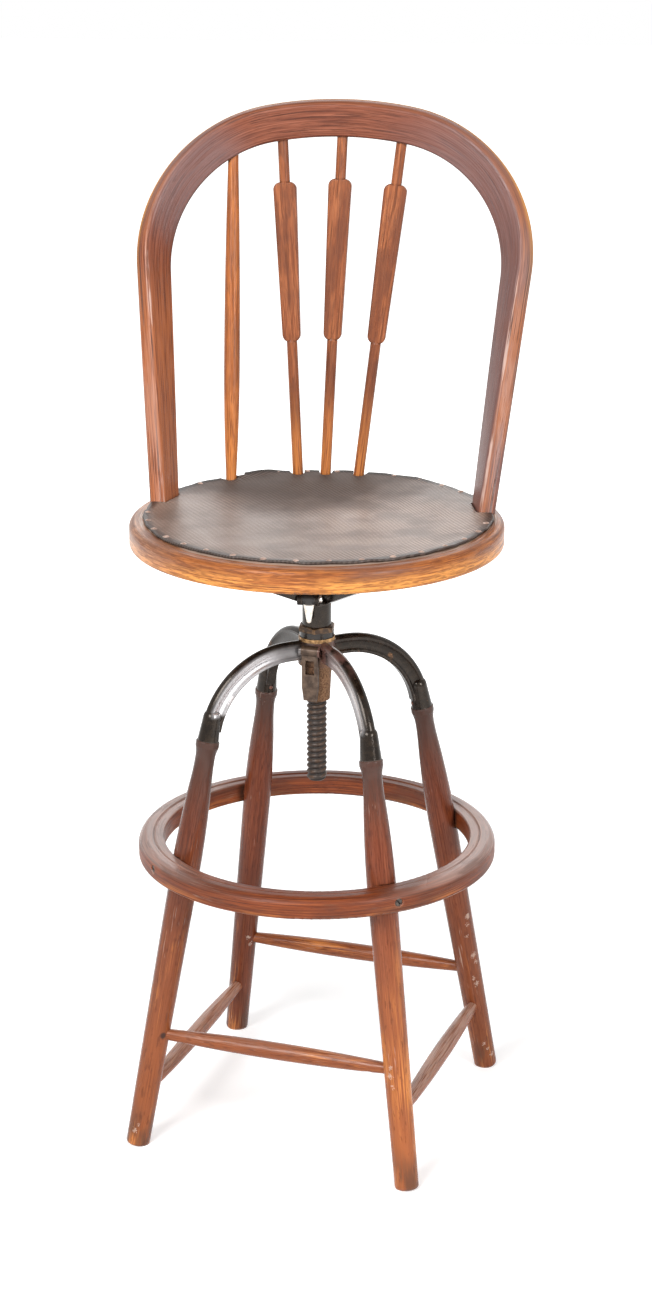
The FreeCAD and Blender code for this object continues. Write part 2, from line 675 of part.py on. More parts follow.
def make_latch():
    """Hinged dog: knuckle on the pin, windowed plate, and a nose that enters the hub sleeve."""
    inner = d.sleeve_top_radius + 2.2
    wide = d.latch_half_width
    low = d.latch_end_height
    body = new_body("latch")
    plate = outline(body, "latch_plate_outline", "YZ_Plane", [
        (-wide + 2, low, None),
        (wide - 2, low, None),
        (wide, low + d.latch_taper, None),
        (wide, d.latch_pin_height, None),
        (-wide, d.latch_pin_height, None),
        (-wide, low + d.latch_taper, None),
    ], lift=inner)
    pad(body, plate, d.latch_plate_thickness, midplane=False)
    knuckle = body.newObject("PartDesign::AdditiveCylinder", "latch_knuckle")
    bind(knuckle, Radius=d.latch_knuckle_radius, Height=wide * 2)
    pin_base = (d.latch_pin_reach.value, -wide.value, d.latch_pin_height.value)
    place(knuckle, pin_base, along(Y_AXIS))
    nose_reach = d.screw_radius + 0.6
    nose = body.newObject("PartDesign::AdditiveBox", "latch_nose")
    bind(nose, Length=inner - nose_reach + 1, Width=8, Height=8)
    place(nose, (nose_reach.value, -4, low.value + 5.5))
    bore = body.newObject("PartDesign::SubtractiveCylinder", "latch_bore")
    bind(bore, Radius=d.latch_pin_radius + d.running_gap, Height=wide * 2)
    place(bore, pin_base, along(Y_AXIS))
    window = body.newObject("PartDesign::SubtractiveBox", "latch_window")
    bind(window, Length=20, Width=wide * 1.1, Height=16)
    place(window, (inner.value - 5, -wide.value * 0.55, low.value + 30))
    place(body, rotation=turned(d.latch_turn.value))
    return subpart(body, "latch")


# Height adjustment: screw, nut and bearing washer


def ring_of(name, outer, inner, thickness, base):
    """Flat washer."""
    return cut(name, cylinder(name + "_disc", outer, thickness, (0, 0, base)),
               cylinder(name + "_hole", inner, thickness + 2, (0, 0, base - 1)))


def hexagon(body, name, half_flats, lift):
    reach = half_flats * (2 / math.sqrt(3))
    corners = []
    for side in range(6):
        turn = math.radians(60 * side + 30)
        corners.append((reach * round(math.cos(turn), 9), reach * round(math.sin(turn), 9), None))
    return outline(body, name, "XY_Plane", corners, lift=lift)


def make_height_nut():
    """Nut with a round collar on the washer and a hexagon above it."""
    seat = d.hub_top + d.washer_thickness + 0.1
    middle = seat + d.nut_collar_height
    top = middle + d.nut_hex_height
    body = new_body("height_nut")
    collar = outline(body, "nut_collar", "XZ_Plane", [
        (screw_bore, seat, None),
        (d.nut_collar_radius, seat, None),
        (d.nut_collar_radius, middle, None),
        (screw_bore, middle, None),
    ])
    revolve(body, collar)
    pad(body, hexagon(body, "nut_hexagon", d.nut_half_flats, middle), d.nut_hex_height, midplane=False)
    bore = outline(body, "nut_bore", "XZ_Plane", [
        (0, seat, None),
        (screw_bore, seat, None),
        (screw_bore, top, None),
        (0, top, None),
    ])
    revolve(body, bore, "Groove")
    crown = outline(body, "nut_crown", "XZ_Plane", [
        (d.nut_half_flats, top + 1, None),
        (d.nut_half_flats, top, None),
        (d.nut_half_flats + 4, top - 2.3, None),
        (d.nut_half_flats + 4, top + 1, None),
    ])
    revolve(body, crown, "Groove")
    return subpart(body, "height_nut")


def make_height_screw():
    """Height screw with a shoulder and a journal for the swivelling seat iron."""
    lead = as_size(2.0)
    end = d.screw_shoulder + 24
    body = new_body("height_screw")
    sketch = outline(body, "screw_outline", "XZ_Plane", [
        (0, d.screw_bottom, None),
        (d.screw_radius - lead, d.screw_bottom, None),
        (d.screw_radius, d.screw_bottom + lead, None),
        (d.screw_radius, d.screw_shoulder, None),
        (d.journal_radius, d.screw_shoulder, None),
        (d.journal_radius, end, None),
        (0, end, None),
    ])
    revolve(body, sketch)
    return subpart(body, "height_screw")


def make_swivel_nut(base):
    body = new_body("swivel_nut")
    pad(body, hexagon(body, "swivel_nut_hexagon", d.journal_radius * 1.6, base), 8, midplane=False)
    hole = cylinder("swivel_nut_hole", d.journal_radius + d.glue_gap, 12, (0, 0, base.value - 2))
    return subpart(cut("swivel_nut_cut", body, hole), "swivel_nut")


# Seat iron with its clamp

CROWN_THICKNESS = as_size(10.0)
LEVER_MIDDLE = -5.5
LEVER_HALF = as_size(6.5)
LUG_LEFT = as_size(5.6)
LUG_RIGHT = as_size(4.7)
CLAMP_HEAD_START = LEVER_MIDDLE + LEVER_HALF.value + LUG_RIGHT.value + 0.3
CLAMP_HEAD_RADIUS = d.clamp_pin_radius * 1.8


def make_seat_iron_casting():
    """Socket tube with a closed crown and four arms that rise to pads under the seat."""
    inside = d.screw_shoulder + 0.1
    crown = d.screw_shoulder + CROWN_THICKNESS
    body = new_body("seat_iron")
    tube = outline(body, "tube_section", "XZ_Plane", [
        (screw_bore, d.tube_bottom, None),
        (d.tube_radius, d.tube_bottom, None),
        (d.tube_radius, crown, None),
        (d.journal_radius + d.running_gap, crown, None),
        (d.journal_radius + d.running_gap, inside, None),
        (screw_bore, inside, None),
    ])
    revolve(body, tube)
    root = d.tube_radius - 3
    pad_start = d.iron_pad_radius - d.iron_pad_length * 0.5
    pad_end = d.iron_pad_radius + d.iron_pad_length * 0.5
    under = d.seat_bottom - d.iron_arm_thickness
    side = outline(body, "iron_arm_side", "XZ_Plane", [
        (root, d.iron_arm_start - 5, None),
        (pad_start, under, None),
        (pad_end, under, None),
        (pad_end, d.seat_bottom, None),
        (pad_start, d.seat_bottom, None),
        (root, d.iron_arm_start + 9, None),
    ])
    arm = pad(body, side, d.iron_arm_half_width * 2)
    arms = body.newObject("PartDesign::PolarPattern", "iron_arms")
    arms.Originals = [arm]
    arms.Axis = (origin_plane(body, "Z_Axis"), [""])
    arms.Angle = 360
    arms.Occurrences = 4
    body.Tip = arms
    return place(body, rotation=turned(45))


def make_clamp_lug():
    """Lug on the tube front that holds the clamp pin."""
    nose = d.lever_barrel_radius + 1.5
    root = d.tube_radius - 3
    body = new_body("clamp_lug")
    sketch = outline(body, "clamp_lug_side", "YZ_Plane", [
        (-root, d.clamp_height + nose, None),
        (-d.clamp_reach, d.clamp_height + nose, nose),
        (-d.clamp_reach - nose, d.clamp_height, nose),
        (-d.clamp_reach, d.clamp_height - nose, None),
        (-root, d.clamp_height - nose, None),
    ], lift=as_size(LEVER_MIDDLE) - LEVER_HALF - LUG_LEFT - 0.3)
    pad(body, sketch, LUG_LEFT + LEVER_HALF * 2 + LUG_RIGHT + 0.6, midplane=False)
    return body


def clamp_pin(name, gap):
    """Pin through the clamp lug, or with a gap its bore."""
    start = LEVER_MIDDLE - LEVER_HALF.value - LUG_LEFT.value - 0.3
    length = LUG_LEFT + LEVER_HALF * 2 + LUG_RIGHT + 0.6
    base = (start, -d.clamp_reach.value, d.clamp_height.value)
    return cylinder(name, d.clamp_pin_radius + gap, length, base, along(X_AXIS))


def seat_screw_set(suffix, gap):
    screws = []
    base_height = d.seat_bottom.value - d.iron_arm_thickness.value
    for quarter in range(4):
        base = polar(d.iron_pad_radius.value, 45 + 90 * quarter, base_height)
        screws.append(screw(f"seat_screw_{quarter}{suffix}",
                            d.seat_screw_head + gap, d.seat_screw_radius + gap,
                            as_size(3.5), as_size(24) + gap, base, Z_AXIS))
    return screws


def make_seat_iron(screw_bores):
    slot_half = LEVER_HALF + 0.3
    depth = d.clamp_reach - d.tube_radius
    slot_base = (LEVER_MIDDLE - slot_half.value, -d.clamp_reach.value - 20.6, d.clamp_height.value - 20)
    slot = box("clamp_slot", slot_half * 2, depth + 20, 40, slot_base)
    solid = fuse("seat_iron_solid", [make_seat_iron_casting(), make_clamp_lug()])
    bore_depth = d.screw_shoulder - d.tube_bottom
    inner = cylinder("tube_bore", screw_bore, bore_depth, (0, 0, d.tube_bottom.value))
    pin_bore = clamp_pin("clamp_pin_bore", d.glue_gap)
    head_base = (CLAMP_HEAD_START, -d.clamp_reach.value, d.clamp_height.value)
    head_space = cylinder("clamp_head_space", CLAMP_HEAD_RADIUS + 0.5, 8, head_base, along(X_AXIS))
    tools = fuse("seat_iron_bores", [slot, inner, pin_bore, head_space] + screw_bores)
    return subpart(cut("seat_iron_cut", solid, tools), "seat_iron")


def make_clamp_pin():
    """Clamp pin with a domed head on its right end."""
    head_base = (CLAMP_HEAD_START, -d.clamp_reach.value, d.clamp_height.value)
    head = doc.addObject("Part::Sphere", "clamp_pin_head")
    bind(head, Radius=CLAMP_HEAD_RADIUS)
    head.Angle1 = 0
    place(head, head_base, along(X_AXIS))
    shank = clamp_pin("clamp_pin_shank", as_size(0))
    return subpart(fuse("clamp_pin_fuse", [shank, head]), "clamp_pin")


def make_clamp_lever():
    """Tapered lever that hangs from its barrel on the clamp pin."""
    tip = as_size(2.5)
    top = LEVER_HALF - 0.2
    end = -d.lever_length
    body = new_body("clamp_lever")
    spike = outline(body, "lever_spike", "XZ_Plane", [
        (0, end, tip),
        (tip, end + tip, None),
        (top, as_size(-5), None),
        (top, 0, None),
        (0, 0, None),
    ])
    revolve(body, spike)
    barrel = body.newObject("PartDesign::AdditiveCylinder", "lever_barrel")
    bind(barrel, Radius=d.lever_barrel_radius, Height=LEVER_HALF * 2)
    place(barrel, (-LEVER_HALF.value, 0, 0), along(X_AXIS))
    bore = body.newObject("PartDesign::SubtractiveCylinder", "lever_bore")
    bind(bore, Radius=d.clamp_pin_radius + d.running_gap, Height=LEVER_HALF * 2)
    place(bore, (-LEVER_HALF.value, 0, 0), along(X_AXIS))
    place(body, (LEVER_MIDDLE, -d.clamp_reach.value, d.clamp_height.value))
    return subpart(body, "clamp_lever")


# Bow back

BOW_SIDES = [("right", 1), ("left", -1)]

SPINDLES = [
    ("spindle_turned", -115.5, -120.0),
    ("spindle_arrow_left", -43.5, -65.0),
    ("spindle_arrow_middle", -12.5, 2.0),
    ("spindle_arrow_right", 25.5, 68.5),
]
BOW_LEAN = math.radians(d.bow_lean.value)
BOW_UP = FreeCAD.Vector(0, math.sin(BOW_LEAN), math.cos(BOW_LEAN))
BOW_FRONT = FreeCAD.Vector(0, -math.cos(BOW_LEAN), math.sin(BOW_LEAN))
BOW_ORIGIN = FreeCAD.Vector(0, d.bow_foot_back.value, d.seat_top.value)
LEG_HEADING = math.radians(90.0 - d.bow_spread.value)
SHOULDER_TURN = math.radians(d.bow_shoulder_turn.value)
CROWN_TURN = math.pi - LEG_HEADING - SHOULDER_TURN
SHOULDER_RUN = d.bow_shoulder_radius.value * SHOULDER_TURN


def bend_point(x, up, heading, radius, turn):
    """Point and heading after a left bend that starts at (x, up)."""
    end = heading + turn
    return (x + radius * (math.sin(end) - math.sin(heading)),
            up - radius * (math.cos(end) - math.cos(heading)), end)


def leg_point(run):
    aside = d.bow_foot_half.value + run * math.cos(LEG_HEADING)
    return (aside, run * math.sin(LEG_HEADING), LEG_HEADING)


def shoulder_point(turn):
    return bend_point(*leg_point(d.bow_leg_length.value), d.bow_shoulder_radius.value, turn)


CROWN_RADIUS = shoulder_point(SHOULDER_TURN)[0] / math.sin(CROWN_TURN)
HALF_RUN = d.bow_leg_length.value + SHOULDER_RUN + CROWN_RADIUS * CROWN_TURN


def half_bow_point(run):
    """Distance aside, distance up the leaning plane and heading of the right half of the bow line."""
    if run <= d.bow_leg_length.value:
        return leg_point(run)
    past = run - d.bow_leg_length.value
    if past <= SHOULDER_RUN:
        return shoulder_point(past / d.bow_shoulder_radius.value)
    crown_turn = (past - SHOULDER_RUN) / CROWN_RADIUS
    return bend_point(*shoulder_point(SHOULDER_TURN), CROWN_RADIUS, crown_turn)


def bow_dish(run):
    """Turn of the band about its line: slow along the leg, quick through the shoulder."""
    foot, shoulder, top = d.bow_foot_dish.value, d.bow_shoulder_dish.value, d.bow_top_dish.value
    if run <= d.bow_leg_length.value:
        return foot + (shoulder - foot) * max(run, 0.0) / d.bow_leg_length.value
    share = min(1.0, (run - d.bow_leg_length.value) / SHOULDER_RUN)
    return shoulder + (top - shoulder) * math.sin(share * math.pi / 2)


def bow_frame(run, side):
    """Middle of the band, its width direction (to the front edge) and its outward direction."""
    aside, up, heading = half_bow_point(run)
    dish = math.radians(bow_dish(run))
    outward = X_AXIS * (side * math.sin(heading)) - BOW_UP * math.cos(heading)
    middle = BOW_ORIGIN + X_AXIS * (side * aside) + BOW_UP * up
    width = BOW_FRONT * math.cos(dish) + outward * math.sin(dish)
    thick = outward * math.cos(dish) - BOW_FRONT * math.sin(dish)
    return middle, width, thick


def bow_section(run, side):
    """Rounded band section as a closed wire."""
    middle, width, thick = bow_frame(run, side)
    half_width = d.bow_width.value / 2
    half_thick = d.bow_thickness.value / 2

    def point(across, out):
        return middle + width * across + thick * out

    edges = []
    corners = [(1, 1), (1, -1), (-1, -1), (-1, 1)]
    stops = []
    for front, out in corners:
        radius = d.bow_front_round.value if front > 0 else d.bow_rear_round.value
        near = radius * (1 - math.sqrt(0.5))
        flat_end = point(front * (half_width - radius), out * half_thick)
        edge_end = point(front * half_width, out * (half_thick - radius))
        arc_middle = point(front * (half_width - near), out * (half_thick - near))
        order = (flat_end, arc_middle, edge_end)
        if front * out < 0:
            order = order[::-1]
        stops.append(order)
    for index, order in enumerate(stops):
        edges.append(Part.Arc(*order).toShape())
        edges.append(Part.LineSegment(order[2], stops[(index + 1) % 4][0]).toShape())
    return Part.Wire(edges)


def bow_runs():
    """Places of the sections along half the bow, from below the seat top to the crown."""
    leg = [-30.0, 0.0, d.bow_leg_length.value * 0.5, d.bow_leg_length.value]
    shoulder = [d.bow_leg_length.value + SHOULDER_RUN * step / 6 for step in range(1, 7)]
    return leg + shoulder + [HALF_RUN - CROWN_RADIUS * CROWN_TURN * 0.5, HALF_RUN]


def bow_lower_edge(aside):
    """Middle of the rear edge of the band where it is a given distance aside."""
    side = 1 if aside >= 0 else -1
    low, high = d.bow_leg_length.value, HALF_RUN
    for _ in range(50):
        run = (low + high) / 2
        middle, width, _ = bow_frame(run, side)
        edge = middle - width * (d.bow_width.value / 2)
        if abs(edge.x) > abs(aside):
            low = run
        else:
            high = run
    return edge


def bow_tenon(name, side, gap):
    """Round tenon under a bow foot, or with a gap its bore."""
    aside, up, heading = half_bow_point(0.0)
    direction = X_AXIS * (-side * math.cos(heading)) - BOW_UP * math.sin(heading)
    base = BOW_ORIGIN + X_AXIS * (side * aside) - direction * 12.0
    return cylinder(name, d.bow_tenon_radius + gap, as_size(32.0) + gap, base, along(direction))


def make_bow(spindle_bores):
    """Bent band that leans back and turns its face from inward at the feet to forward at the top."""
    runs = bow_runs()
    right = [bow_section(run, 1) for run in runs]
    left = [bow_section(run, -1) for run in reversed(runs[:-1])]
    band = doc.addObject("Part::Feature", "bow_band")
    band.Shape = Part.makeLoft(right + left, True, False)
    under = box("bow_under", 500, 300, 60, (-250, -100, d.seat_top.value - 60))
    trimmed = cut("bow_trimmed", band, under)
    tenons = [bow_tenon(f"bow_tenon_{name}", side, as_size(0)) for name, side in BOW_SIDES]
    solid = fuse("bow_solid", [trimmed] + tenons)
    return subpart(cut("bow_cut", solid, fuse("bow_bores", spindle_bores)), "bow")


def spindle_ends(foot_aside, top_aside):
    """Points where a spindle meets the seat top and the bow edge."""
    back = math.sqrt(d.spindle_circle_radius.value ** 2 - foot_aside ** 2)
    return FreeCAD.Vector(foot_aside, back, d.seat_top.value), bow_lower_edge(top_aside)


def spindle_bore(name, foot_aside, top_aside):
    foot, top = spindle_ends(foot_aside, top_aside)
    direction = (top - foot).normalize()
    length = (top - foot).Length
    ends = []
    foot_base = foot - direction * (d.spindle_into_seat.value + 0.1)
    top_base = foot + direction * (length - 18.0)
    for end, base, depth in (("foot", foot_base, 30.0),
                             ("top", top_base, 18.1 + d.spindle_into_bow.value)):
        ends.append(cylinder(f"{name}_{end}_bore", d.spindle_end_radius + d.glue_gap, depth,
                             base, along(direction)))
    return ends


def spindle_body(name, foot_aside, top_aside):
    """Body of a spindle with local Z along it, its foot end and its full length."""
    foot, top = spindle_ends(foot_aside, top_aside)
    direction = (top - foot).normalize()
    body = new_body(name)
    place(body, foot, along(direction, X_AXIS))
    return body, (top - foot).Length


def make_turned_spindle(name, foot_aside, top_aside):
    """Plain turned spindle with its swell below the middle."""
    body, length = spindle_body(name, foot_aside, top_aside)
    swell_height = as_size(length * 0.36)
    neck = as_size(length * 0.02)
    upper = as_size(length * 0.97)
    rise = d.spindle_swell_radius - d.spindle_end_radius
    sketch = outline(body, name + "_outline", "XZ_Plane", [
        (0, -d.spindle_into_seat, None),
        (d.spindle_end_radius, -d.spindle_into_seat, None),
        (d.spindle_end_radius, neck, arc_radius(swell_height - neck, rise)),
        (d.spindle_swell_radius, swell_height, arc_radius(upper - swell_height, rise)),
        (d.spindle_end_radius, upper, None),
        (d.spindle_end_radius, d.spindle_into_bow + length, None),
        (0, d.spindle_into_bow + length, None),
    ])
    revolve(body, sketch)
    return subpart(body, name)


def round_faces(body, block, half):
    """Rounds the outline of both flat faces of a symmetric pad."""
    doc.recompute()
    rim = []
    for index, edge in enumerate(block.Shape.Edges, 1):
        if all(abs(abs(corner.Y) - half) < 0.01 for corner in edge.Vertexes):
            rim.append(f"Edge{index}")
    rounding = body.newObject("PartDesign::Fillet", block.Name + "_rounding")
    rounding.Base = (block, rim)
    bind(rounding, Radius=d.paddle_round)


def make_arrow_spindle(name, foot_aside, top_aside):
    """Round spindle with a flat rounded paddle in its upper part."""
    body, length = spindle_body(name, foot_aside, top_aside)
    low = as_size(length * 0.405)
    high = as_size(length * 0.875)
    stem = d.spindle_end_radius - 1
    low_corner = arc_radius(d.paddle_shoulder, d.paddle_low_half - stem)
    top_corner = arc_radius(d.paddle_shoulder, d.paddle_top_half - stem)
    paddle = outline(body, name + "_paddle", "XZ_Plane", [
        (-stem, low, None),
        (stem, low, low_corner),
        (d.paddle_low_half, low + d.paddle_shoulder, None),
        (d.paddle_top_half, high - d.paddle_shoulder, top_corner),
        (stem, high, None),
        (-stem, high, top_corner),
        (-d.paddle_top_half, high - d.paddle_shoulder, None),
        (-d.paddle_low_half, low + d.paddle_shoulder, low_corner),
    ])
    block = pad(body, paddle, d.paddle_thickness)
    round_faces(body, block, d.paddle_thickness.value / 2)
    core = d.spindle_end_radius * 0.6
    end = d.spindle_into_bow + length
    shaft = outline(body, name + "_shaft", "XZ_Plane", [
        (0, -d.spindle_into_seat, None),
        (d.spindle_end_radius, -d.spindle_into_seat, None),
        (d.spindle_end_radius, low - 1, None),
        (core, low + d.paddle_shoulder, None),
        (core, high - d.paddle_shoulder, None),
        (d.spindle_end_radius, high + 1, None),
        (d.spindle_end_radius, end, None),
        (0, end, None),
    ])
    revolve(body, shaft)
    return subpart(body, name)


# Seat frame, leather panel and tacks


def make_seat_frame(bores):
    """Round seat frame, open in the middle, with a well-rounded top edge."""
    small = d.seat_edge
    body = new_body("seat_frame")
    sketch = outline(body, "seat_section", "XZ_Plane", [
        (d.seat_hole_radius + small, d.seat_bottom, None),
        (d.seat_radius - small, d.seat_bottom, small),
        (d.seat_radius, d.seat_bottom + small, None),
        (d.seat_radius, d.seat_top - d.seat_round, d.seat_round),
        (d.seat_radius - d.seat_round, d.seat_top, None),
        (d.seat_hole_radius + small, d.seat_top, small),
        (d.seat_hole_radius, d.seat_top - small, None),
        (d.seat_hole_radius, d.seat_bottom + small, small),
    ])
    revolve(body, sketch)
    return subpart(cut("seat_frame_cut", body, fuse("seat_frame_bores", bores)), "seat_frame")


def make_leather():
    """Leather panel on the seat frame, notched round the bow feet and the spindles."""
    panel = cylinder("leather_disc", d.leather_radius, d.leather_thickness,
                     (0, d.leather_back_shift.value, d.seat_top.value))
    depth = d.leather_thickness + 2
    low = d.seat_top.value - 1
    notches = []
    for name, side in (("right", 1), ("left", -1)):
        rotation = turned(side * d.bow_foot_dish.value)
        length = d.bow_width + 16
        reach = d.bow_thickness * 0.5 + 4
        corner = FreeCAD.Vector(-reach.value if side > 0 else reach.value - 50, -length.value / 2, 0)
        foot = FreeCAD.Vector(side * d.bow_foot_half.value, d.bow_foot_back.value, low)
        base = foot + rotation.multVec(corner)
        notches.append(box(f"leather_notch_{name}", 50, length, depth, base, rotation))
    for name, foot_aside, top_aside in SPINDLES:
        foot, _ = spindle_ends(foot_aside, top_aside)
        notches.append(cylinder(f"leather_hole_{name}", d.spindle_end_radius + 1.5, depth,
                                (foot.x, foot.y, low)))
    return subpart(cut("leather_cut", panel, fuse("leather_notches", notches)), "seat_leather")


def tack_places():
    """Places of the tacks along the leather edge, clear of the bow feet and the spindles."""
    count = 34
    clear_of = [(FreeCAD.Vector(side * d.bow_foot_half.value, d.bow_foot_back.value, 0), 38.0)
                for _, side in BOW_SIDES]
    for _, foot_aside, top_aside in SPINDLES:
        foot, _ = spindle_ends(foot_aside, top_aside)
        clear_of.append((FreeCAD.Vector(foot.x, foot.y, 0), 13.0))
    places = []
    for index in range(count):
        spot = polar(d.leather_radius.value - d.tack_inset.value, 360.0 * index / count - 90, 0)
        spot.y += d.leather_back_shift.value
        if all((spot - centre).Length > distance for centre, distance in clear_of):
            places.append(spot)
    return places


def make_tacks():
    """Domed tacks driven through the leather into the seat frame."""
    top = d.seat_top.value + d.leather_thickness.value
    sink = math.sqrt(d.tack_dome.value ** 2 - d.tack_radius.value ** 2)
    latitude = math.degrees(math.acos(d.tack_radius.value / d.tack_dome.value))
    tacks = []
    for index, spot in enumerate(tack_places()):
        head = doc.addObject("Part::Sphere", f"tack_head_{index}")
        bind(head, Radius=d.tack_dome)
        head.Angle1 = latitude
        place(head, (spot.x, spot.y, top - sink))
        shank = cylinder(f"tack_shank_{index}", 0.9, 12.2, (spot.x, spot.y, top - 12))
        tacks.append(fuse(f"tack_{index}", [head, shank]))
    return subpart(group("tack_set", tacks), "seat_tacks")


def build():
    """Makes every sub-part in the order of assembly."""
    pin_bores = make_base()
    make_spider(pin_bores)
    subpart(latch_pin("latch_pin_rod", as_size(0)), "latch_pin")
    make_latch()
    subpart(ring_of("bearing_washer_ring", d.washer_radius, screw_bore,
                    d.washer_thickness, d.hub_top.value), "bearing_washer")
    make_height_nut()
    make_height_screw()
    crown = d.screw_shoulder + CROWN_THICKNESS + 0.2
    subpart(ring_of("swivel_washer_ring", d.tube_radius - 2, d.journal_radius + d.glue_gap,
                    2.4, crown.value), "swivel_washer")
    make_swivel_nut(crown + 2.4)
    screw_bores = seat_screw_set("_bore", d.glue_gap)
    make_seat_iron(screw_bores)
    make_clamp_pin()
    make_clamp_lever()
    subpart(group("seat_screw_set", seat_screw_set("", as_size(0))), "seat_iron_screws")
    bores = {name: spindle_bore(name, foot, top) for name, foot, top in SPINDLES}
    tenon_bores = [bow_tenon(f"bow_tenon_bore_{name}", side, d.glue_gap) for name, side in BOW_SIDES]
    make_seat_frame(screw_bores + tenon_bores + [pair[0] for pair in bores.values()])
    make_leather()
    make_tacks()
    make_bow([pair[1] for pair in bores.values()])
    make_turned_spindle(*SPINDLES[0])
    for spindle in SPINDLES[1:]:
        make_arrow_spindle(*spindle)


def check_and_write():
    """Stops on any failed object, then writes one file for each sub-part."""
    doc.recompute()
    failed = [item.Name for item in doc.Objects if "Invalid" in item.State or "Error" in item.State]
    for item in SUBPARTS:
        if item.Shape.isNull() or not item.Shape.isValid():
            failed.append(item.Label)
    if failed:
        raise RuntimeError("failed objects: " + ", ".join(failed))
    os.makedirs("parts", exist_ok=True)
    for item in SUBPARTS:
        item.Shape.exportStep(f"parts/{item.Label}.step")
        bounds = item.Shape.optimalBoundingBox(False, False)
        print(f"{item.Label:24s} solids {len(item.Shape.Solids):3d} "
              f"volume {item.Shape.Volume / 1000.0:9.2f} cm3 "
              f"z {bounds.ZMin:7.1f} to {bounds.ZMax:7.1f}")


build()
check_and_write()
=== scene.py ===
import math
import bmesh
import bpy
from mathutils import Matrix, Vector


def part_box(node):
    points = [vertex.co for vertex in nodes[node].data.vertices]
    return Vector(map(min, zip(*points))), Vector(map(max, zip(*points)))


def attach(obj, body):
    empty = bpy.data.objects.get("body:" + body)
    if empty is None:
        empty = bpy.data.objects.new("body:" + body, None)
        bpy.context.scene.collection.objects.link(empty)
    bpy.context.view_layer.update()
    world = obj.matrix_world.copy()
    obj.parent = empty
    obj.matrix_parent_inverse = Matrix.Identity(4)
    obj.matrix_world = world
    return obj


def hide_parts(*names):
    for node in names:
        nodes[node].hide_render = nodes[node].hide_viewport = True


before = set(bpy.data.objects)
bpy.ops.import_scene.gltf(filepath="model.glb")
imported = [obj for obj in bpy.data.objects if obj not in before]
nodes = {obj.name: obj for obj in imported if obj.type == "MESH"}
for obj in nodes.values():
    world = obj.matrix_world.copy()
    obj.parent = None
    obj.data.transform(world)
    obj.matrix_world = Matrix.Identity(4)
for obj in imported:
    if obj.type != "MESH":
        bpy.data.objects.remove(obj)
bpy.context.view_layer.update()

# Sizes of the solids that the modelled pieces follow, in metres
SEAT_TOP = 0.7005
SEAT_RADIUS = 0.203
LEATHER_RADIUS = 0.1915
LEATHER_BACK = 0.0075
LEG_ANGLES = {"back_right": 33.0, "back_left": 123.0, "front_left": 213.0, "front_right": 303.0}
FOOT_CIRCLE = 0.224
JOINT_CIRCLE = 0.1316
JOINT_HEIGHT = 0.466
LEG_RADIUS = 0.0145
SOCKET_TOP = 0.491
NUT_COLLAR_TOP = 0.5743
LEVER_SHOULDER = 0.6095
RING_RADIUS = 0.185
ARM_BEND_RADIUS = 0.095
ARM_BEND_CENTRE = (0.0352, 0.0, 0.459)
RIB_PITCH = 0.0038
SPINDLE_CIRCLE = 0.184
SPINDLE_FEET = {"spindle_turned": -0.1155, "spindle_arrow_left": -0.0435,
                "spindle_arrow_middle": -0.0125, "spindle_arrow_right": 0.0255}
X_AXIS = Vector((1, 0, 0))
Z_AXIS = Vector((0, 0, 1))


def polar(radius, degrees, height=0.0):
    turn = math.radians(degrees)
    return Vector((radius * math.cos(turn), radius * math.sin(turn), height))


# Materials

